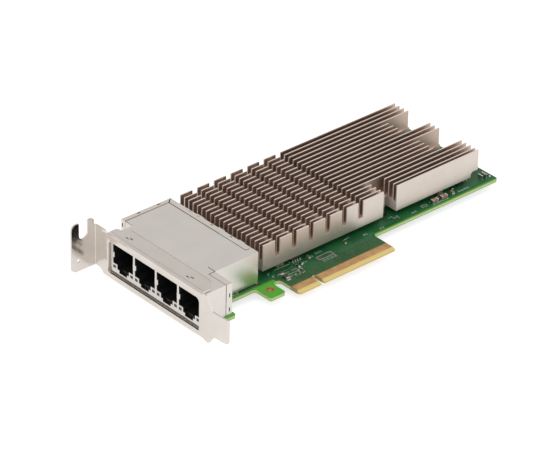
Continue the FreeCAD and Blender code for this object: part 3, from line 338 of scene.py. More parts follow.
@dataclass(frozen=True)
class BoardLaminate:
    """Green solder mask over copper, bare laminate at the cut edges and between the contacts."""

    name: str = "board_laminate"
    mask: Colour = (0.009, 0.082, 0.026)
    mask_copper: Colour = (0.014, 0.112, 0.034)
    mask_bare: Colour = (0.076, 0.400, 0.025)
    edge: Colour = (0.700, 0.730, 0.390)
    edge_core: Colour = (0.560, 0.620, 0.290)
    edge_tongue: Colour = (0.400, 0.330, 0.150)
    edge_mask: Colour = (0.085, 0.420, 0.035)
    bare: Colour = (0.180, 0.110, 0.036)
    bevel: Colour = (0.760, 0.590, 0.220)
    pin_hole: Colour = (0.110, 0.070, 0.030)
    window_top: float = 6.0
    bevel_top: float = 1.9
    thickness: float = 1.57
    mask_depth: float = 0.26
    lobe_rear: float = -14.0
    lobe_front: float = 40.0
    # Heights over which the mask turns clear: 1 at the second, which lies lower.
    hook_fade: Levels = (14.6, 13.2)
    rim_fade: Levels = (13.95, 13.55)
    gloss: Levels = (0.30, 0.46)

    def make(self) -> Material:
        """Build the material.

        Returns:
            The material.
        """
        tree = Tree(self.name)
        place = tree.place()
        across = tree.axis(place, "X")
        up = tree.axis(place, "Y")
        pour = tree.noise(place, 0.09, 3.0)
        copper = tree.spread(pour, 0.46, 0.54)
        runs = tree.add("TexBrick", Vector=place, Scale=0.55, Mortar_Size=0.035, Brick_Width=2.6,
                        Row_Height=0.45)
        routed = tree.mix(tree.sum("MULTIPLY", runs.outputs["Fac"], 0.7), self.mask, self.mask_copper)
        mask = tree.mix(copper, routed, self.mask_copper)
        # The hook, the front lobe and a narrow rim have no copper, so light comes through the mask there.
        ahead = tree.sum("LESS_THAN", across, self.lobe_rear)
        hook = tree.sum("MULTIPLY", ahead, tree.spread(up, *self.hook_fade))
        ragged = tree.sum("SUBTRACT", up, tree.sum("MULTIPLY", tree.noise(place, 0.5, 2.0), 0.3))
        rim = tree.spread(ragged, *self.rim_fade)
        clear = tree.sum("MULTIPLY", rim, tree.sum("GREATER_THAN", across, self.lobe_front))
        mask = tree.mix(tree.sum("MAXIMUM", hook, clear), mask, self.mask_bare)
        behind = tree.sum("GREATER_THAN", across, self.lobe_rear)
        on_tongue = tree.sum("MULTIPLY", tree.sum("LESS_THAN", up, self.window_top), behind)
        face = tree.mix(on_tongue, mask, self.bare)
        patches = tree.spread(tree.noise(place, 0.2, 2.0), 0.5, 0.6)
        pores = tree.sum("MULTIPLY", tree.dots(place, 1.1, 0.16), patches)
        face = tree.mix(tree.sum("MULTIPLY", pores, 0.75), face, self.pin_hole)
        middle = tree.sum("ABSOLUTE", tree.sum("ADD", tree.axis(place, "Z"), self.thickness / 2), 0.0)
        weave = tree.spread(tree.noise(tree.place((0.4, 0.4, 5.0)), 1.6, 2.0), 0.35, 0.65)
        side = tree.mix(weave, self.edge, self.edge_core)
        half = self.thickness / 2
        skin = tree.spread(middle, half - self.mask_depth, half - self.mask_depth * 0.6)
        side = tree.mix(skin, side, self.edge_mask)
        side = tree.mix(on_tongue, side, self.edge_tongue)
        colour = tree.mix(tree.facing("Z"), side, face)
        sloping = tree.sum("MULTIPLY", tree.sum("LESS_THAN", up, self.bevel_top), behind)
        colour = tree.mix(sloping, colour, self.bevel)
        relief = tree.sum("ADD", tree.sum("MULTIPLY", runs.outputs["Fac"], 0.4), tree.noise(place, 1.5, 3.0))
        normal = tree.bump(relief, 0.02, 0.5)
        rough = tree.spread(tree.noise(place, 3.0, 3.0), *NOISE_SPAN, *self.gloss)
        return tree.surface(Base_Color=colour, Roughness=rough, Normal=normal, IOR=1.33)


@dataclass(frozen=True)
class ContactGold:
    """Hard gold plate with its drawn sheen, wiped marks and slightly browner rubbed patches."""

    name: str = "contact_gold"
    tone: Colour = (0.88, 0.57, 0.27)
    rubbed: Colour = (0.72, 0.43, 0.20)
    roughness: float = 0.30

    def make(self) -> Material:
        """Build the material.

        Returns:
            The material.
        """
        tree = Tree(self.name)
        place = tree.place()
        wiped = tree.noise(tree.place((2.4, 0.25, 1.0)), 1.8, 3.0)
        patch = tree.noise(place, 0.28, 3.0)
        colour = tree.mix(tree.spread(patch, 0.4, 0.65), self.tone, self.rubbed)
        rough = tree.spread(wiped, *NOISE_SPAN, self.roughness - 0.08, self.roughness + 0.10)
        normal = tree.bump(wiped, 0.003, 0.6)
        return tree.surface(Base_Color=colour, Metallic=1.0, Roughness=rough, Normal=normal)


@dataclass(frozen=True)
class CombedAluminium:
    """Combed fins: pale outer walls, inner sides painted browner as the shade between the fins, the same
    painted shade on up-facing faces low in the slots, and paler, rougher cut ends.
    """

    name: str = "sink_aluminium"
    wall: Colour = (0.735, 0.655, 0.600)
    wall_shade: Colour = (0.690, 0.610, 0.550)
    # Painted shade: colour of the fin sides between the outer walls and of the up-facing faces low in the
    # slots.
    inner: Colour = (0.605, 0.480, 0.405)
    cut: Colour = (0.860, 0.740, 0.670)
    near_wall: float = 18.3
    far_wall: float = 68.45
    slot_shade_level: float = 13.5
    roughness: float = 0.42
    cut_roughness: float = 0.52
    cut_metal: float = 0.70

    def make(self) -> Material:
        """Build the material.

        Returns:
            The material.
        """
        tree = Tree(self.name)
        place = tree.place()
        lines = tree.noise(tree.place(Grain.ALONG_X.value), 6.0, 3.0, 0.65)
        wall = tree.tones(tree.noise(place, 0.12, 4.0), self.wall_shade, self.wall)
        middle = (self.near_wall + self.far_wall) / 2
        offset = tree.sum("ABSOLUTE", tree.sum("ADD", tree.axis(place, "Y"), -middle), 0.0)
        inside = tree.sum("LESS_THAN", offset, (self.far_wall - self.near_wall) / 2)
        # Painted shade: faces that look along Y between the outer walls take the darker inner colour.
        sides = tree.mix(inside, wall, self.inner)
        flat = tree.facing("Y")
        speckle = tree.noise(place, 2.4, 3.0, 0.6)
        cut = tree.mix(tree.spread(speckle, 0.4, 0.7), self.cut, wall)
        colour = tree.mix(flat, cut, sides)
        # Painted shade: up-facing faces below the slot shade level take the darker inner colour.
        slot_shade = tree.sum("LESS_THAN", tree.axis(place, "Z"), self.slot_shade_level)
        colour = tree.mix(tree.sum("MULTIPLY", tree.facing("Z"), slot_shade), colour, self.inner)
        rough = tree.spread(flat, 0.0, 1.0, self.cut_roughness, self.roughness)
        worn = tree.sum("ADD", rough, tree.spread(lines, 0.2, 0.8, -0.03, 0.04))
        metal = tree.spread(flat, 0.0, 1.0, self.cut_metal, 1.0)
        normal = tree.bump(lines, 0.003, 0.25)
        return tree.surface(Base_Color=colour, Metallic=metal, Roughness=worn, Normal=normal)


@dataclass(frozen=True)
class PrintInk:
    """Thin off-white ink that lets a little of the mask through."""

    name: str = "print_ink"
    ink: Colour = (0.74, 0.76, 0.72)
    thin: Colour = (0.42, 0.52, 0.44)

    def make(self) -> Material:
        """Build the material.

        Returns:
            The material.
        """
        tree = Tree(self.name)
        place = tree.place()
        cover = tree.noise(place, 3.5, 3.0, 0.6)
        colour = tree.ramp(cover, [(0.36, self.thin), (0.52, self.ink)])
        return tree.surface(Base_Color=colour, Roughness=0.62, Normal=tree.bump(cover, 0.006, 0.5))


@dataclass(frozen=True)
class PaleFloor:
    """Plain white sweep that keeps a soft shadow."""

    name: str = "pale_floor"
    own_light: float = 0.71
    mirrored_light: float = 0.52
    tone: Colour = (0.62, 0.62, 0.62)

    def make(self) -> Material:
        """Build the material.

        Returns:
            The material.
        """
        tree = Tree(self.name)
        path = tree.add("LightPath")
        direct = tree.sum("MULTIPLY", path.outputs["Is Camera Ray"], self.own_light)
        mirrored = tree.sum("MAXIMUM", path.outputs["Is Glossy Ray"], path.outputs["Is Transmission Ray"])
        matt = tree.add("BsdfDiffuse", Color=self.tone)
        strength = tree.sum("ADD", direct, tree.sum("MULTIPLY", mirrored, self.mirrored_light))
        glow = tree.add("Emission", Color=(1.0, 1.0, 1.0), Strength=strength)
        both = tree.add("AddShader")
        tree.put(both, 0, matt.outputs["BSDF"])
        tree.put(both, 1, glow.outputs["Emission"])
        tree.add("OutputMaterial", Surface=both.outputs["Shader"])
        return tree.material


FINISHES = {finish.name: finish for finish in (
    BoardLaminate(),
    ContactGold(),
    SatinMetal("copper_plating", (0.52, 0.36, 0.13), (0.38, 0.25, 0.09), 0.36),
    SatinMetal("bracket_steel", (0.745, 0.695, 0.65), (0.705, 0.655, 0.61), 0.17, Grain.ALONG_Y),
    SatinMetal("shield_tin", (0.76, 0.72, 0.685), (0.72, 0.68, 0.645), 0.35, Grain.ALONG_Y, 0.0015),
    CombedAluminium(),
    SatinMetal("lead_tin", (0.78, 0.77, 0.74), (0.66, 0.65, 0.62), 0.28),
    SatinMetal("solder", (0.76, 0.73, 0.69), (0.58, 0.55, 0.51), 0.30, Grain.NONE, 0.01, 1.2),
    SatinMetal("can_aluminium", (0.82, 0.82, 0.82), (0.72, 0.72, 0.72), 0.24),
    SatinMetal("screw_steel", (0.70, 0.69, 0.66), (0.58, 0.57, 0.55), 0.30),
    MouldedPlastic("black_plastic", (0.008, 0.008, 0.009), (0.005, 0.005, 0.005), 0.50),
    MouldedPlastic("chip_package", (0.10, 0.11, 0.11), (0.07, 0.08, 0.08), 0.45),
    MouldedPlastic("chip_epoxy", (0.022, 0.022, 0.024), (0.014, 0.014, 0.015), 0.5),
    MouldedPlastic("inductor_body", (0.10, 0.10, 0.10), (0.06, 0.06, 0.06), 0.7, 0.03, 2.5),
    MouldedPlastic("thermal_pad", (0.35, 0.38, 0.42), (0.30, 0.33, 0.37), 0.8),
    MouldedPlastic("ceramic_brown", (0.34, 0.19, 0.14), (0.25, 0.13, 0.09), 0.38),
    MouldedPlastic("resistor_black", (0.040, 0.030, 0.027), (0.022, 0.017, 0.015), 0.35),
    MouldedPlastic("fuse_body", (0.045, 0.040, 0.040), (0.025, 0.022, 0.022), 0.4),
    MouldedPlastic("light_pipe", (0.05, 0.05, 0.045), (0.03, 0.03, 0.03), 0.15, 0.002),
)}

# Finishes of trim that shares a slot with the piece it belongs to.
# Shade and dark ink: painted shadow in the shields' seams, slots and gaps, painted shade in the can's vent
# lines, and the can's printed polarity field.
SHADE_AND_DARK_INK = MouldedPlastic("shade_and_dark_ink", (0.020, 0.014, 0.011), (0.010, 0.007, 0.006), 0.7)
CUT_COPPER = SatinMetal("cut_copper", (0.66, 0.37, 0.17), (0.50, 0.26, 0.11), 0.42, Grain.NONE, 0.006, 0.8)
# Painted shade: a dark strip that stands in for the shadowed gap under the jack.
GAP_SHADE = MouldedPlastic("gap_shade", (0.20, 0.165, 0.135), (0.12, 0.095, 0.075), 0.75, 0.04, 5.0)
# Painted shade: dark lines in place of the shade at the flange's bend and along its rear edge.
CREASE_SHADE = SatinMetal("crease_shade_line", (0.44, 0.41, 0.38), (0.34, 0.31, 0.29), 0.42, Grain.ALONG_Y, 0.002, 2.0)
FOAM_FABRIC = SatinMetal("foam_fabric", (0.60, 0.56, 0.52), (0.50, 0.46, 0.42), 0.45, Grain.NONE, 0.01, 3.0)
TRACE_MASK = MouldedPlastic("trace_mask", (0.024, 0.165, 0.050), (0.014, 0.115, 0.034), 0.34, 0.01, 3.0)
VIA_COPPER = SatinMetal("via_copper", (0.30, 0.17, 0.08), (0.17, 0.10, 0.05), 0.48, Grain.NONE, 0.006, 1.5)
BARE_PAD = SatinMetal("bare_pad", (0.66, 0.63, 0.58), (0.50, 0.47, 0.42), 0.36, Grain.NONE, 0.01, 1.4)


@cache
def material_of(finish: Finish) -> Material:
    """Give a finish's material, made once."""
    return finish.make()


# ------------------------------------------------------------------ places

@dataclass(frozen=True)
class Block:
    """Box of a node, or of one of its solids, in millimetres."""

    low: Vector
    high: Vector

    @property
    def middle(self) -> Vector:
        """Give the box's middle."""
        return (self.low + self.high) / 2

    def holds(self, x: float, y: float, margin: float) -> bool:
        """Tell whether a spot lies on the box when it is grown by a margin."""
        low, high = self.low, self.high
        return low.x - margin < x < high.x + margin and low.y - margin < y < high.y + margin


def box_of(node: str) -> Block:
    """Give a node's box in millimetres."""
    low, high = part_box(node)
    return Block(Vector(low) / MM, Vector(high) / MM)


def blocks_of(node: str) -> list[Block]:
    """Give the box of each separate solid in a node.

    Args:
        node: The node's name.

    Returns:
        The boxes in millimetres.
    """
    mesh = bmesh.new()
    mesh.from_mesh(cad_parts[node].data)
    bmesh.ops.remove_doubles(mesh, verts=mesh.verts, dist=WELD_GAP)
    waiting = set(mesh.verts)
    blocks = []
    while waiting:
        front = [waiting.pop()]
        solid = list(front)
        while front:
            after = {edge.other_vert(vert) for vert in front for edge in vert.link_edges} & waiting
            waiting -= after
            front = list(after)
            solid += front
        low = Vector([min(vert.co[axis] for vert in solid) for axis in range(3)]) / MM
        high = Vector([max(vert.co[axis] for vert in solid) for axis in range(3)]) / MM
        blocks.append(Block(low, high))
    mesh.free()
    return sorted(blocks, key=lambda block: tuple(block.low))


# ------------------------------------------------------------------ pieces

def show(name: str, data: bpy.types.ID) -> Thing:
    """Make an object and link it to the scene.

    Args:
        name: The object's name.
        data: Its mesh, lamp or camera.

    Returns:
        The object.
    """
    thing = bpy.data.objects.new(name, data)
    bpy.context.scene.collection.objects.link(thing)
    return thing


def round_edges(thing: Thing, radius: float) -> bpy.types.Modifier:
    """Soften an object's sharp edges.

    Args:
        thing: The object.
        radius: Radius in millimetres.

    Returns:
        The modifier.
    """
    edge = thing.modifiers.new("soft_edges", "BEVEL")
    edge.width = radius * MM
    edge.segments = 2
    edge.limit_method = "ANGLE"
    return edge


class Solids:
    """Collects small solids, in millimetres, into one piece."""

    def __init__(self) -> None:
        """Start an empty mesh."""
        self.mesh = bmesh.new()

    def box(self, low: Sequence[float], high: Sequence[float], turn: float = 0.0) -> None:
        """Add a box.

        Args:
            low: Lowest corner.
            high: Highest corner.
            turn: Turn about Z through its middle, in degrees.
        """
        middle = [(a + b) / 2 * MM for a, b in zip(low, high)]
        spread = [(b - a) * MM for a, b in zip(low, high)]
        place = Matrix.Translation(middle) @ Matrix.Rotation(math.radians(turn), 4, "Z")
        bmesh.ops.create_cube(self.mesh, size=1.0, matrix=place @ Matrix.Diagonal((*spread, 1.0)))

    def disc(self, x: float, y: float, low: float, high: float, radius: float, sides: int = 16,
             bore: float = 0.0) -> None:
        """Add an upright disc or ring.

        Args:
            x: Centre.
            y: Centre.
            low: Lower level.
            high: Upper level.
            radius: Outer radius.
            sides: Number of sides.
            bore: Radius of the hole, or 0.
        """
        rings = []
        for reach, level in ((radius, low), (radius, high)) + (((bore, high), (bore, low)) if bore else ()):
            ring = []
            for step in range(sides):
                angle = 2 * math.pi * step / sides
                spot = (x + reach * math.cos(angle), y + reach * math.sin(angle), level)
                ring.append(self.mesh.verts.new([value * MM for value in spot]))
            rings.append(ring)
        pairs = list(zip(rings, rings[1:]))
        if bore:
            pairs.append((rings[-1], rings[0]))
        else:
            self.mesh.faces.new(list(reversed(rings[0])))
            self.mesh.faces.new(rings[1])
        for lower, upper in pairs:
            for step in range(sides):
                after = (step + 1) % sides
                self.mesh.faces.new((lower[step], lower[after], upper[after], upper[step]))

    def prism(self, outline: Sequence[Sequence[float]], run: Sequence[float]) -> None:
        """Sweep a flat outline along a straight run.

        Args:
            outline: The corners in order.
            run: The run's step along each axis.
        """
        near = [self.mesh.verts.new([value * MM for value in spot]) for spot in outline]
        moved = [[(value + step) * MM for value, step in zip(spot, run)] for spot in outline]
        far = [self.mesh.verts.new(spot) for spot in moved]
        self.mesh.faces.new(near)
        self.mesh.faces.new(list(reversed(far)))
        for step in range(len(outline)):
            after = (step + 1) % len(outline)
            self.mesh.faces.new((near[step], far[step], far[after], near[after]))

    def stroke(self, start: Spot, end: Spot, width: float, low: float, high: float) -> None:
        """Add a straight flat bar between two spots.

        Args:
            start: First end.
            end: Last end.
            width: Width of the bar.
            low: Lower level.
            high: Upper level.
        """
        run = Vector((end[0] - start[0], end[1] - start[1]))
        middle = ((start[0] + end[0]) / 2, (start[1] + end[1]) / 2)
        half = run.length / 2 + width / 2
        lowest = (middle[0] - half, middle[1] - width / 2, low)
        highest = (middle[0] + half, middle[1] + width / 2, high)
        self.box(lowest, highest, math.degrees(math.atan2(run.y, run.x)))

    def path(self, spots: Sequence[Spot], width: float, low: float, high: float) -> None:
        """Add flat bars from each spot to the next."""
        for start, end in zip(spots, spots[1:]):
            self.stroke(start, end, width, low, high)

    def piece(self, name: str, slot: str, finish: Optional[Finish] = None, soften: float = 0.0) -> None:
        """Close the mesh and put it on the card.

        Args:
            name: The piece's name.
            slot: The record's material slot that it takes its finish from.
            finish: A finish of its own, where the slot's doesn't suit.
            soften: Radius of the softened edges in millimetres.
        """
        bmesh.ops.recalc_face_normals(self.mesh, faces=self.mesh.faces)
        data = bpy.data.meshes.new(name)
        self.mesh.to_mesh(data)
        self.mesh.free()
        thing = show(name, data)
        data.materials.append(material_of(finish or FINISHES[slot]))
        if soften:
            round_edges(thing, soften)
        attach(thing, ROOT)
        log.info("piece %s: %d faces", name, len(data.polygons))


def dress(node: str, slot: str, soften: float = 0.0) -> None:
    """Give a carried-over node its finish and soft edges.

    Args:
        node: The node's name.
        slot: The material slot.
        soften: Radius of the softened edges in millimetres.
    """
    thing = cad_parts[node]
    data = thing.data
    data.materials.clear()
    data.materials.append(material_of(FINISHES[slot]))
    if soften:
        weld = thing.modifiers.new("weld", "WELD")
        weld.merge_threshold = WELD_GAP
        flat = thing.modifiers.new("flat_faces", "DECIMATE")
        flat.decimate_type = "DISSOLVE"
        flat.angle_limit = FLAT_ANGLE
        edge = round_edges(thing, soften)
        edge.angle_limit = EDGE_ANGLE
        edge.use_clamp_overlap = True
        edge.harden_normals = True
    log.info("node %s: finish %s", node, slot)


# ------------------------------------------------------------------ sub-assemblies

@dataclass(frozen=True)
class Face:
    """One face of the board; its side is 1 for the components and -1 for the solder."""

    name: str
    level: float
    side: int

    def layer(self, high: float) -> Levels:
        """Give the lower and upper level of a layer on the face."""
        ends = sorted((self.level, self.level + self.side * high))
        return ends[0], ends[1]


def board_faces() -> tuple[Face, Face]:
    """Give the component face and the solder face."""
    board = box_of("circuit_board")
    return Face("front", board.high.z, 1), Face("back", board.low.z, -1)


@dataclass
class CircuitBoard:
    """The board with its contacts, routed copper, vias and printed marks."""

    skin: float = 0.02
    ring_lift: float = 1.6
    print_lift: float = 1.5
    trace: float = 0.16
    via: float = 0.27
    via_bore: float = 0.11
    via_margin: float = 0.7
    fan_out: tuple[float, ...] = (1.3, 3.6, 2.2, 5.0, 2.9, 4.2)
    fan_end: float = 0.4
    jog: tuple[float, ...] = (0.0, 0.5, -0.5)
    ink: float = 0.14
    spread_step: float = 0.618034
    shoulder: float = 13.3
    tongue_top: float = 6.2
    barrel_share: float = 0.31
    barrel_bore: float = 0.93
    outline_box: tuple[float, float, float, float] = (9.8, 12.9, 17.4, 15.3)
    # Routes: their corners, how many run side by side, and the step between them. Those of
    # the component face count Y from the heat sink's near side.
    front_routes: tuple[Route, ...] = (
        (((-20.0, -1.6), (-12.5, -1.6), (-9.5, 1.4)), 5, (0.0, -0.42)),
        (((20.0, -4.2), (37.0, -4.2), (40.5, -0.7), (62.0, -0.7)), 6, (0.0, -0.4)),
        (((58.0, -2.4), (88.0, -2.4), (89.3, -1.1), (101.0, -1.1)), 4, (0.0, -0.42)),
    )
    back_routes: tuple[Route, ...] = (
        (((-26.0, 24.0), (-8.0, 24.0), (2.0, 34.0)), 12, (0.0, 0.55)),
        (((26.0, 34.0), (44.0, 34.0), (54.0, 44.0)), 14, (0.0, 0.5)),
        (((81.0, 36.0), (92.0, 36.0), (99.0, 43.0), (99.0, 60.0)), 8, (0.5, 0.5)),
        (((4.0, 12.0), (4.0, 26.0), (12.0, 34.0)), 10, (0.55, 0.0)),
        (((58.0, 17.5), (84.0, 17.5), (90.0, 23.5), (90.0, 34.0)), 6, (0.5, -0.5)),
        (((-26.0, 52.0), (-12.0, 52.0), (0.0, 46.0)), 9, (0.0, 0.6)),
    )
    # Fields of vias: their range in X and Y on the board, and how many are tried.
    front_fields: tuple[Area, ...] = (
        ((-11.0, 40.0), (6.6, 11.0), 70), ((-10.0, 104.0), (11.5, 17.2), 60),
        ((103.2, 108.6), (24.0, 66.0), 14), ((-44.0, -21.0), (12.6, 15.0), 8))
    back_fields: tuple[Area, ...] = (
        ((-50.0, 107.0), (14.5, 66.0), 190), ((-11.0, 40.0), (6.6, 12.0), 46))
    pad_pitch: float = 1.35
    pair_step: float = 0.62
    pad_wide: float = 0.36
    pad_half: float = 0.25
    # Rows of pads: gap to the heat sink, first X and count; then the X and gap of lone pads.
    pad_rows: Table = ((2.0, -8.4, 5), (3.7, -8.0, 5), (5.3, -7.2, 4))
    lone_pads: Table = ((-3.2, 7.0), (-1.9, 7.3), (-10.5, 6.8), (24.6, 1.2), (80.6, 1.4))
    # Printed paths, with Y counted from the heat sink's near side.
    ink_paths: tuple[tuple[Spot, ...], ...] = (
        ((52.2, 0.6), (54.4, 1.2), (54.6, -0.9), (56.9, 0.3), (56.2, -1.7)),
        ((-9.2, 0.8), (-1.6, 0.4)),
        ((26.6, -0.3), (30.5, 0.4)),
        ((-13.4, -0.9), (-13.4, 0.2), (-12.3, 0.2)),
        ((-13.0, -3.4), (-13.0, -2.2), (-11.9, -2.2)),
        ((69.2, -1.9), (72.0, -1.9), (72.0, -0.6), (69.2, -0.6), (69.2, -1.9)),
    )
    # Rows of ticks: gap, first X and count; rows of dashes: X, gap, count, step and height.
    tick_rows: Table = ((6.9, -7.6, 6), (7.7, -5.2, 5), (2.9, -10.6, 3), (4.4, -2.0, 3))
    dash_rows: Table = (
        (10.6, 6.6, 7, 1.05, 1.25), (89.4, 2.2, 8, 0.8, 0.95), (3.2, 2.5, 3, 0.8, 0.8),
        (7.6, 1.1, 3, 0.85, 0.9), (11.7, 0.4, 4, 0.95, 1.0), (62.9, 2.3, 4, 0.75, 0.7),
        (36.0, 2.4, 3, 0.8, 0.8), (76.5, 3.0, 4, 0.8, 0.7), (44.6, 3.0, 3, 0.8, 0.8))
    # One more row of dashes, with its Y on the board.
    front_dashes: tuple[float, ...] = (-34.0, 15.0, 4, 0.8, 0.8)

    def build(self) -> None:
        """Dress the board and add what is routed and printed on it."""
        dress("circuit_board", "board_laminate")
        dress("edge_contacts_front", "contact_gold")
        dress("edge_contacts_back", "contact_gold")
        dress("hook_hole_plating", "copper_plating")
        front, back = board_faces()
        near = box_of("heat_sink").low.y
        self.hook_barrel(front, back)
        self.fan(front)
        self.fan(back)
        self.bundles(front, near, self.front_routes)
        self.bundles(back, 0.0, self.back_routes)
        self.scatter(front, self.front_fields, ("chip_terminals", "memory_chip", "regulator_chip"))
        screws = ["heat_sink_screw_%d" % number for number in (1, 2, 3, 4)]
        screws += ["bracket_screw_%d" % number for number in (1, 2)]
        self.scatter(back, self.back_fields, ("underside_terminals", "jack_solder_joints", *screws))
        self.bare_pads(front, near)
        self.front_marks(front, near)
        self.back_marks(back)

    def on_board(self, x: float, y: float) -> bool:
        """Tell whether a via fits on the board at a spot.

        Args:
            x: The spot's X.
            y: The spot's Y.

        Returns:
            Whether it does.
        """
        contacts = box_of("edge_contacts_front")
        on_tongue = contacts.low.x + 0.4 < x < contacts.high.x - 0.4 and y > self.tongue_top
        return on_tongue or y > self.shoulder + 0.6

    def hook_barrel(self, front: Face, back: Face) -> None:
        """Line the hook's hole with plating.

        Args:
            front: The component face.
            back: The solder face.
        """
        rim = box_of("hook_hole_plating")
        barrel = Solids()
        bore = (rim.high.x - rim.low.x) * self.barrel_share
        barrel.disc(rim.middle.x, rim.middle.y, back.level, front.level, bore, 32, bore * self.barrel_bore)
        barrel.piece("hook_hole_barrel", "copper_plating")

    def fan(self, face: Face) -> None:
        """Run a trace from each edge contact to a via.

        Args:
            face: The face of the board.
        """
        traces, vias = Solids(), Solids()
        contacts = sorted(blocks_of("edge_contacts_" + face.name), key=lambda block: block.middle.x)
        ring = face.layer(self.skin * self.ring_lift)
        for number, contact in enumerate(contacts):
            x = contact.middle.x
            start = contact.high.y
            reach = self.fan_out[number * 5 % len(self.fan_out)]
            shift = self.jog[number % len(self.jog)]
            bend = start + reach * 0.45
            end = start + reach + self.fan_end
            spots = [(x, start), (x, bend), (x + shift, bend + abs(shift)), (x + shift, end)]
            if not shift:
                spots.pop(2)
            traces.path(spots, self.trace, *face.layer(self.skin))
            vias.disc(x + shift, end + self.via, *ring, self.via, 12, self.via_bore)
        traces.piece("contact_traces_" + face.name, "board_laminate", TRACE_MASK)
        vias.piece("contact_vias_" + face.name, "copper_plating", VIA_COPPER)

    def bundles(self, face: Face, base: float, routes: Sequence[Route]) -> None:
        """Run bundles of parallel traces over a face.

        Args:
            face: The face of the board.
            base: Y that the routes start from.
            routes: The routes.
        """
        traces = Solids()
        for route, count, (step_x, step_y) in routes:
            for number in range(count):
                spots = [(x + step_x * number, base + y + step_y * number) for x, y in route]
                traces.path(spots, self.trace, *face.layer(self.skin))
        traces.piece("routed_traces_" + face.name, "board_laminate", TRACE_MASK)

    def scatter(self, face: Face, fields: Sequence[Area], parts: Sequence[str]) -> None:
        """Scatter plated vias over the open parts of a face.

        Args:
            face: The face of the board.
            fields: Where they lie.
            parts: Nodes whose solids they keep clear of.
        """
        vias = Solids()
        taken = []
        for node in parts:
            taken += [box_of(node)] if "screw" in node else blocks_of(node)
        for (left, right), (bottom, top), count in fields:
            for number in range(1, count + 1):
                x = left + (right - left) * ((number * self.spread_step) % 1.0)
                y = bottom + (top - bottom) * ((number * self.spread_step ** 2 * 1.7) % 1.0)
                if self.on_board(x, y) and not any(box.holds(x, y, self.via_margin) for box in taken):
                    size = self.via * (0.8 if number % 3 else 1.1)
                    vias.disc(x, y, *face.layer(self.skin * self.print_lift), size, 10, self.via_bore)
        vias.piece("scattered_vias_" + face.name, "copper_plating", VIA_COPPER)

    def bare_pads(self, face: Face, near: float) -> None:
        """Add the rows of unfilled pads in front of the heat sink.

        Args:
            face: The component face.
            near: Y of the heat sink's near side.
        """
        pads, copper = Solids(), Solids()
        low, high = face.layer(self.skin * 2)
        for row, (gap, start, count) in enumerate(self.pad_rows):
            for number in range(count):
                if (row, number) == (1, 2):
                    continue
                x = start + number * self.pad_pitch
                y = near - gap
                for left in (x, x + self.pair_step):
                    pads.box((left, y - self.pad_half, low), (left + self.pad_wide, y + self.pad_half, high))
        left, bottom, right, top = self.outline_box
        middle = (bottom + top) / 2
        for x in (left + 0.5, right - 2.0):
            copper.box((x, middle - 0.75, low), (x + 1.4, middle + 0.75, high))
        for x, gap in self.lone_pads:
            copper.box((x, near - gap - 0.3, low), (x + 0.7, near - gap + 0.3, high), 12.0)
        pads.piece("bare_pads", "lead_tin", BARE_PAD)
        copper.piece("bare_copper_pads", "copper_plating", VIA_COPPER)

    def front_marks(self, face: Face, near: float) -> None:
        """Print outlines, ticks and dashes; none of them is a letter.

        Args:
            face: The component face.
            near: Y of the heat sink's near side.
        """
        marks = Solids()
        span = face.layer(self.skin * self.print_lift)
        left, bottom, right, top = self.outline_box
        paths = [[(left, bottom), (right, bottom), (right, top), (left, top), (left, bottom)]]
        paths += [[(x, near + rise) for x, rise in path] for path in self.ink_paths]
        for block in blocks_of("chip_capacitor_bodies"):
            if block.high.x - block.low.x >= 1.5 and block.middle.y <= near:
                for y in (block.low.y - 0.55, block.high.y + 0.55):
                    paths.append([(block.low.x - 0.9, y), (block.high.x + 0.9, y)])
        chip = box_of("memory_chip")
        paths += [[(x, chip.low.y), (x, chip.high.y)] for x in (chip.low.x - 0.5, chip.high.x + 0.5)]
        for path in paths:
            marks.path(path, self.ink, *span)
        bold = self.ink * 1.2
        for row, (gap, first, count) in enumerate(self.tick_rows):
            for number in range(count):
                foot = (first + number * 1.1 + 0.3 * (row % 2), near - gap)
                turned = (number + row) % 2
                tip = (foot[0] + (0.0 if turned else 0.55), foot[1] + (0.55 if turned else 0.0))
                marks.stroke(foot, tip, bold, *span)
        rows = [(x, near - gap, *rest) for x, gap, *rest in self.dash_rows] + [self.front_dashes]
        for x, y, count, step, tall in rows:
            for number in range(count):
                foot = (x + number * step, y - tall / 2 + 0.12 * (number % 2))
                head = (foot[0], foot[1] + tall)
                marks.stroke(foot, head, bold, *span)
                if number % 2 == 0:
                    marks.stroke(head, (head[0] + step * 0.45, head[1]), self.ink, *span)
        marks.piece("printed_marks_front", "board_laminate", PrintInk())

    def back_marks(self, face: Face) -> None:
        """Print rings round the screws, a frame round the jack's joints and ticks by the capacitors.

        Args:
            face: The solder face.
        """
        marks = Solids()
        span = face.layer(self.skin * self.print_lift)
        for number in (1, 2, 3, 4):
            screw = box_of("heat_sink_screw_%d" % number)
            radius = (screw.high.x - screw.low.x) / 2 + 0.7
            marks.disc(screw.middle.x, screw.middle.y, *span, radius, 40, radius - self.ink * 1.3)
        joints = box_of("jack_solder_joints")
        left, right = joints.low.x - 1.4, joints.high.x + 1.4
        bottom, top = joints.low.y - 1.4, joints.high.y + 1.4
        corners = [(left, bottom), (right, bottom), (right, top), (left, top), (left, bottom)]
        marks.path(corners, self.ink, *span)
        for block in blocks_of("underside_capacitor_bodies"):
            side = block.low.x - 0.75
            marks.stroke((side, block.low.y), (side, block.high.y), self.ink, *span)
        marks.piece("printed_marks_back", "board_laminate", PrintInk())


@dataclass
class SlotBracket:
    """The folded bracket."""

    fold: float = 0.12

    def build(self) -> None:
        """Dress the bracket."""
        dress("bracket", "bracket_steel", self.fold)


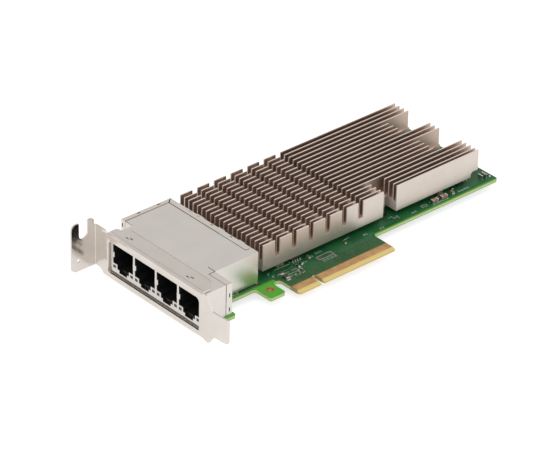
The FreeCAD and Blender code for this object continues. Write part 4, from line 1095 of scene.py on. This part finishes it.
@dataclass
class PortBlock:
    """The jack: housing, shields, contacts, lights, seams with painted shadow, a dark strip of painted shade
    under it and a foam strip at its far side.
    """

    ports: int = 4
    shield_fold: float = 0.06
    tab_fold: float = 0.05
    rear_strip: float = 2.9
    far_strip: float = 2.5
    seam: float = 0.26
    edge: float = 0.22
    skin: float = 0.03
    flange_rise: float = 0.965
    # Dark lines of painted shade at the flange's bend and rear edge: distance from the front, and what they
    # leave free at both ends.
    crease_shades: Table = ((7.52, 5.0, 7.9), (0.45, 1.4, 4.2))
    crease: float = 0.17
    gap_shade_reach: float = 0.24
    gap_shade_overlap: float = 0.45
    gap_strip_drop: float = 0.55
    foam_far_rise: float = 14.0
    strip_depth: float = 2.2
    strip_width: float = 0.36
    far_slots: tuple[float, ...] = (8.3, 18.6)
    rear_slots: tuple[float, ...] = (11.3, 23.1)
    rear_windows: tuple[float, ...] = (31.3, 36.4)
    rear_tabs: Table = ((16.1, 19.9), (28.5, 33.2), (4.2, 7.6))
    tab_reach: float = 0.42
    tab_high: float = 0.27

    def build(self) -> None:
        """Dress the jack's pieces and add its seams with painted shadow, tabs, a dark strip of painted shade
        under it and a foam strip at its far side.
        """
        dress("jack_housing", "black_plastic")
        dress("jack_magnetics_module", "black_plastic")
        for node in ("jack_front_shield", "jack_rear_shield", "jack_side_shield"):
            dress(node, "shield_tin", self.shield_fold)
        for number in range(1, self.ports + 1):
            dress("jack_contacts_%d" % number, "contact_gold")
            dress("port_lights_%d" % number, "light_pipe")
        dress("jack_board_pins", "lead_tin")
        dress("jack_solder_joints", "solder")
        self.seams()
        self.tabs()
        self.foam()

    def seams(self) -> None:
        """Lay painted shadow in the gaps, slots and seams between the folded shields, the bare metal of their
        cut edges, and the dark lines of painted shade on the flange.
        """
        front, rear, side = (box_of("jack_%s_shield" % name) for name in ("front", "rear", "side"))
        low, high = front.high.z, front.high.z + self.skin
        dark, bare, crease_shades = Solids(), Solids(), Solids()
        seam, edge = self.seam, self.edge
        line_x = rear.high.x - self.rear_strip
        line_y = rear.high.y - self.far_strip
        left = rear.low.x + 0.2
        near = rear.low.y
        for solids, start, end, width in (
                (dark, (line_x, near), (line_x, line_y), seam),
                (dark, (line_x, near), (rear.high.x - 1.2, near), seam),
                (dark, (left, line_y), (line_x, line_y), seam * 0.6),
                (bare, (left, line_y + edge), (line_x, line_y + edge), edge),
                (bare, (line_x + edge, line_y * 0.55), (line_x + edge, line_y), edge * 0.7)):
            solids.stroke(start, end, width, low, high)
        flange = front.high.z + self.flange_rise
        # Painted shade: dark lines across the flange at its bend and at its rear edge.
        for reach, start, end in self.crease_shades:
            x = front.low.x + reach
            crease_shades.stroke((x, front.low.y + start), (x, front.high.y - end), self.crease, flange,
                           flange + self.skin / 2)
        crease_shades.piece("flange_crease_shades", "bracket_steel", CREASE_SHADE)
        # The near strip: a slit of painted shadow from the inner corner and a step across, then the cut edge
        # along the neck.
        inner, outer = side.high.y, side.low.y
        slit = [(side.high.x, inner + 4.2), (side.high.x, inner + 0.1), (side.low.x, inner + 0.1)]
        dark.path(slit, seam, low, high)
        bare.stroke((side.low.x + 0.05, inner - 0.1), (side.low.x + 0.05, outer + 0.15), edge, low, high)
        bare.stroke((side.low.x + 0.1, outer + 0.12), (side.high.x - 0.1, outer + 0.12), edge, low, high)
        # Slots in the strips: dark strokes of painted shade, and windows of bare metal.
        for gap in self.far_slots:
            x, y = rear.low.x + gap, rear.high.y - 0.95
            dark.stroke((x - 0.6, y), (x + 0.6, y), 0.45, low, high)
        x = rear.high.x - 0.75
        for solids, gaps, half, width in ((dark, self.rear_slots, 0.45, 0.35),
                                          (bare, self.rear_windows, 0.4, 0.4)):
            for gap in gaps:
                solids.stroke((x, near + gap - half), (x, near + gap + half), width, low, high)
        # Painted shadow along the edge of the far lobe, and the upright seams on the neck's two sides in
        # painted shadow and bare metal.
        lobe, far = rear.low.x + 0.14, box_of("jack_housing").high.y + 0.5
        dark.stroke((lobe, front.high.y - 0.2), (lobe, far), seam * 0.7, low, high)
        bare.box((rear.low.x - self.skin, line_y - 0.1, low * 0.35), (rear.low.x, line_y + 0.14, low - 0.1))
        dark.box((side.low.x - 0.12, outer - self.skin, 0.2), (side.low.x + 0.10, outer, low - 0.1))
        bare.box((side.low.x + 0.10, outer - self.skin, low * 0.45), (side.low.x + 0.2, outer, low - 0.1))
        # Painted shadow in the gap under the rear part's near wall, with its two soldered tabs.
        wall = inner + 0.12
        dark.box((side.high.x + 0.4, wall - self.skin, 0.0), (rear.high.x - 0.3, wall + 0.05, 0.42))
        for x in (side.high.x + 10.8, rear.high.x - 1.2):
            bare.box((x, wall - 0.35, 0.0), (x + 0.9, wall + 0.02, 0.55))
        dark.piece("shield_seam_shadows", "shield_tin", SHADE_AND_DARK_INK)
        bare.piece("shield_cut_edges", "copper_plating", CUT_COPPER)

    def tabs(self) -> None:
        """Add the small folded tabs behind the rear strip."""
        rear = box_of("jack_rear_shield")
        tabs = Solids()
        back, tip, level = rear.high.x, rear.high.x + self.tab_reach, rear.high.z - 0.28
        for start, end in self.rear_tabs:
            near, far = rear.low.y + start, rear.low.y + end
            outline = ((back, near), (tip, near + 0.15), (tip, far - 0.15), (back, far))
            tabs.prism([(x, y, level) for x, y in outline], (0.0, 0.0, self.tab_high))
        tabs.piece("rear_shield_tabs", "shield_tin", soften=self.tab_fold)

    def foam(self) -> None:
        """Fill the gaps between the jack and the bracket's window: a dark strip of painted shade under the
        jack, and a strip of foam fabric along its far side.
        """
        front = box_of("jack_front_shield")
        housing = box_of("jack_housing")
        face, reach = front.low.x, self.gap_shade_reach
        top = front.low.z + self.gap_shade_overlap
        bottom = front.low.z - self.gap_strip_drop
        middle = (top + bottom) / 2
        start, end = housing.low.y + 2.1, housing.high.y + 0.4
        outline = ((face + 0.4, bottom), (face - reach * 0.4, bottom), (face - reach, bottom + 0.22),
                   (face - reach * 0.35, middle - 0.05), (face - reach, top - 0.3), (face - reach * 0.3, top),
                   (face, top))
        # Painted shade: this dark strip stands in for the shadow in the gap under the jack.
        sill = Solids()
        sill.prism([(x, start, z) for x, z in outline], (0.0, end - start, 0.0))
        sill.piece("window_gap_shade", "black_plastic", GAP_SHADE)
        strip = Solids()
        far = end + self.strip_width
        strip.prism([(face - 0.2, end, bottom), (face + self.strip_depth, end, bottom),
                     (face + self.strip_depth, far, bottom), (face - 0.2, far, bottom)],
                    (0.0, 0.0, front.low.z + self.foam_far_rise - bottom))
        strip.piece("window_side_foam", "shield_tin", FOAM_FABRIC)


@dataclass
class HeatSink:
    """The combed heat sink, its screws, and the chips and pads under it."""

    screws: int = 4
    bracket_screws: int = 2
    fin_edge: float = 0.05
    screw_edge: float = 0.1

    def build(self) -> None:
        """Dress the heat sink, its pads and fasteners."""
        dress("heat_sink", "sink_aluminium", self.fin_edge)
        for kind, count in (("heat_sink", self.screws), ("bracket", self.bracket_screws)):
            for number in range(1, count + 1):
                dress("%s_screw_%d" % (kind, number), "screw_steel", self.screw_edge)
        for chip in ("controller", "phy"):
            dress(chip + "_chip", "chip_package")
            dress(chip + "_thermal_pad", "thermal_pad")


@dataclass
class SmallParts:
    """Chips, tall parts and chip components with their pads and solder."""

    finishes: dict[str, str] = field(default_factory=lambda: {
        "memory_chip": "chip_epoxy", "memory_chip_leads": "lead_tin", "regulator_chip": "chip_epoxy",
        "can_capacitor_base": "black_plastic", "can_capacitor": "can_aluminium",
        "power_inductor_1": "inductor_body", "power_inductor_2": "inductor_body",
        "chip_capacitor_bodies": "ceramic_brown", "chip_terminals": "solder",
        "chip_resistor_bodies": "resistor_black", "chip_fuse_bodies": "fuse_body",
        "chip_diode_bodies": "chip_epoxy", "underside_capacitor_bodies": "ceramic_brown",
        "underside_terminals": "solder"})
    front_bodies: tuple[str, ...] = ("chip_capacitor_bodies", "chip_resistor_bodies", "chip_fuse_bodies",
                                     "chip_diode_bodies")
    pad_reach: float = 0.24
    pad_side: float = 0.08
    pad_high: float = 0.035
    wetted: float = 0.6
    fillet_bend: float = 0.35
    mark_share: float = 0.78
    vent_share: float = 0.55
    vent: float = 0.09
    mark_high: float = 0.015
    vent_high: float = 0.012

    def build(self) -> None:
        """Dress each part and add its joints."""
        for node, slot in self.finishes.items():
            dress(node, slot)
        front, back = board_faces()
        self.joints(front, "chip_terminals", self.front_bodies)
        self.joints(back, "underside_terminals", ("underside_capacitor_bodies",))
        self.lead_pads(front.level)
        self.can_mark()

    def joints(self, face: Face, terminals: str, bodies: Sequence[str]) -> None:
        """Add a pad and a solder fillet at the outer end of each terminal.

        Args:
            face: The face of the board.
            terminals: The terminals' node.
            bodies: The nodes of the bodies that they belong to.
        """
        pads, fillets = Solids(), Solids()
        homes = [block for node in bodies for block in blocks_of(node)]
        for end in blocks_of(terminals):
            home = min(homes, key=lambda block: (block.middle - end.middle).length)
            away = end.middle - home.middle
            along = 0 if abs(away.x) > abs(away.y) else 1
            sign = 1 if away[along] > 0 else -1
            outer, inner = end.high[along], end.low[along]
            if sign < 0:
                outer, inner = inner, outer
            tall = abs((end.high.z if face.side > 0 else end.low.z) - face.level)
            aside, wide = end.low[1 - along], end.high[1 - along] - end.low[1 - along]
            tip = outer + sign * self.pad_reach
            bend = outer + sign * self.pad_reach * self.fillet_bend
            climb = tall * self.wetted
            fillet = ((outer, 0.0), (tip, 0.0), (tip, self.pad_high), (bend, climb * self.fillet_bend),
                      (outer, climb))
            pad = ((inner, 0.0), (tip, 0.0), (tip, self.pad_high), (inner, self.pad_high))
            for solids, outline, margin in ((fillets, fillet, 0.0), (pads, pad, self.pad_side)):
                corners = [self.spot(along, reach, aside - margin, face.level + face.side * high)
                           for reach, high in outline]
                solids.prism(corners, self.spot(along, 0.0, wide + 2 * margin, 0.0))
        pads.piece("chip_pads_" + face.name, "lead_tin", BARE_PAD)
        fillets.piece("chip_solder_" + face.name, "solder")

    def spot(self, along: int, reach: float, aside: float, level: float) -> tuple[float, float, float]:
        """Give a point from its places along and across a part that lies along X (0) or Y (1)."""
        return (reach, aside, level) if along == 0 else (aside, reach, level)

    def lead_pads(self, level: float) -> None:
        """Add the pads under the memory chip's leads.

        Args:
            level: Level of the board's face.
        """
        chip = box_of("memory_chip")
        pads = Solids()
        for lead in blocks_of("memory_chip_leads"):
            out = -1 if lead.middle.y < chip.middle.y else 1
            foot = lead.low.y if out < 0 else lead.high.y
            near, far = sorted((foot - out * 0.6, foot + out * 0.4))
            left, right = lead.low.x - 0.1, lead.high.x + 0.1
            pads.prism([(left, near, level), (right, near, level), (right, far, level), (left, far, level)],
                       (0.0, 0.0, self.pad_high))
        pads.piece("memory_chip_pads", "lead_tin", BARE_PAD)

    def can_mark(self) -> None:
        """Print the dark polarity field on the can's top, and draw its vent lines as raised dark strokes of
        painted groove shade.
        """
        can = box_of("can_capacitor")
        x, y, top = can.middle.x, can.middle.y, can.high.z
        radius = (can.high.x - can.low.x) / 2 * self.mark_share
        turns = [math.radians(angle) for angle in range(120, 241, 10)]
        mark = Solids()
        mark.prism([(x + radius * math.cos(turn), y + radius * math.sin(turn), top) for turn in turns],
                   (0.0, 0.0, self.mark_high))
        # Painted shade: the vent lines are raised dark strokes in place of the shade in their grooves.
        for angle in (0, 60, 120):
            turn = math.radians(angle)
            across = math.cos(turn) * radius * self.vent_share
            along = math.sin(turn) * radius * self.vent_share
            ends = (x - across, y - along), (x + across, y + along)
            mark.stroke(*ends, self.vent, top, top + self.vent_high)
        mark.piece("can_top_mark", "can_aluminium", SHADE_AND_DARK_INK)


@dataclass
class Studio:
    """Camera, lamps, world and floor, in metres."""

    eye: tuple[float, float, float] = (-0.77326, -0.82374, 0.71526)
    aim: tuple[float, float, float] = (0.01374, 0.04431, 0.0)
    roll: float = 1.36
    lens: float = 222.5
    sensor: float = 36.0
    lamp_aim: tuple[float, float, float] = (0.02, 0.03, 0.0)
    # Lamps: name, place, width of the panel and power in watts.
    lamps: tuple[Lamp, ...] = (
        ("key_lamp", (-0.7, -0.5, 1.3), 1.5, 8.0), ("fill_lamp", (0.9, -1.0, 0.9), 2.0, 4.0))
    world_level: float = 0.64
    sky_tone: Colour = (1.0, 0.985, 0.97)
    overhead: float = 0.74
    climb: Levels = (0.15, 0.42)
    floor_gap: float = 0.0002
    floor_half: float = 6.0

    def camera(self) -> None:
        """Create the camera."""
        data = bpy.data.cameras.new("camera")
        data.lens = self.lens
        data.sensor_width = self.sensor
        data.clip_start = 0.05
        data.clip_end = 20.0
        thing = show("camera", data)
        back = (Vector(self.eye) - Vector(self.aim)).normalized()
        right = Vector((0, 0, 1)).cross(back).normalized()
        up = back.cross(right)
        turn = math.radians(self.roll)
        tilted_right = right * math.cos(turn) + up * math.sin(turn)
        tilted_up = up * math.cos(turn) - right * math.sin(turn)
        axes = Matrix((tilted_right, tilted_up, back)).transposed().to_4x4()
        thing.matrix_world = Matrix.Translation(self.eye) @ axes
        bpy.context.scene.camera = thing

    def lamp(self, name: str, place: Sequence[float], size: float, power: float) -> None:
        """Add a soft lamp.

        Args:
            name: The lamp's name.
            place: Where it stands.
            size: Width of its panel.
            power: Power in watts.
        """
        data = bpy.data.lights.new(name, "AREA")
        data.size = size
        data.energy = power
        thing = show(name, data)
        thing.location = place
        thing.rotation_euler = (Vector(self.lamp_aim) - Vector(place)).to_track_quat("-Z", "Y").to_euler()

    def world(self) -> None:
        """Set an even surround that looks white at the horizon and pale grey overhead."""
        surround = bpy.data.worlds.new("surround")
        bpy.context.scene.world = surround
        tree = Tree("surround", surround)
        path = tree.add("LightPath")
        light = tree.add("Background", Strength=self.world_level, Color=(1.0, 1.0, 1.0))
        height = tree.axis(tree.add("TexCoord").outputs["Generated"], "Z")
        level = tree.spread(height, *self.climb, 1.0, self.overhead)
        seen = tree.add("Background", Color=self.sky_tone, Strength=level)
        rays = path.outputs["Is Camera Ray"]
        for name in ("Is Glossy Ray", "Is Transmission Ray"):
            rays = tree.sum("MAXIMUM", rays, path.outputs[name])
        mixer = tree.add("MixShader", Fac=rays)
        tree.put(mixer, 1, light.outputs["Background"])
        tree.put(mixer, 2, seen.outputs["Background"])
        tree.add("OutputWorld", Surface=mixer.outputs["Shader"])

    def floor(self) -> None:
        """Lay the pale floor just under the card."""
        level = CAD_BOX[0][2] - self.floor_gap
        mesh = bmesh.new()
        bmesh.ops.create_grid(mesh, x_segments=1, y_segments=1, size=self.floor_half,
                              matrix=Matrix.Translation((0, 0, level)))
        data = bpy.data.meshes.new("floor")
        mesh.to_mesh(data)
        mesh.free()
        data.materials.append(PaleFloor().make())
        thing = show("floor", data)

    def build(self) -> None:
        """Set up the studio."""
        self.camera()
        for lamp in self.lamps:
            self.lamp(*lamp)
        self.world()
        self.floor()
        bpy.context.scene.view_settings.view_transform = "Standard"


def main() -> None:
    """Build the card's looks and the studio."""
    logging.basicConfig(level=logging.INFO, format="%(name)s: %(message)s")
    Studio().build()
    for assembly in (CircuitBoard(), SlotBracket(), PortBlock(), HeatSink(), SmallParts()):
        log.info("building %s", type(assembly).__name__)
        assembly.build()


if __name__ == "__main__":
    main()
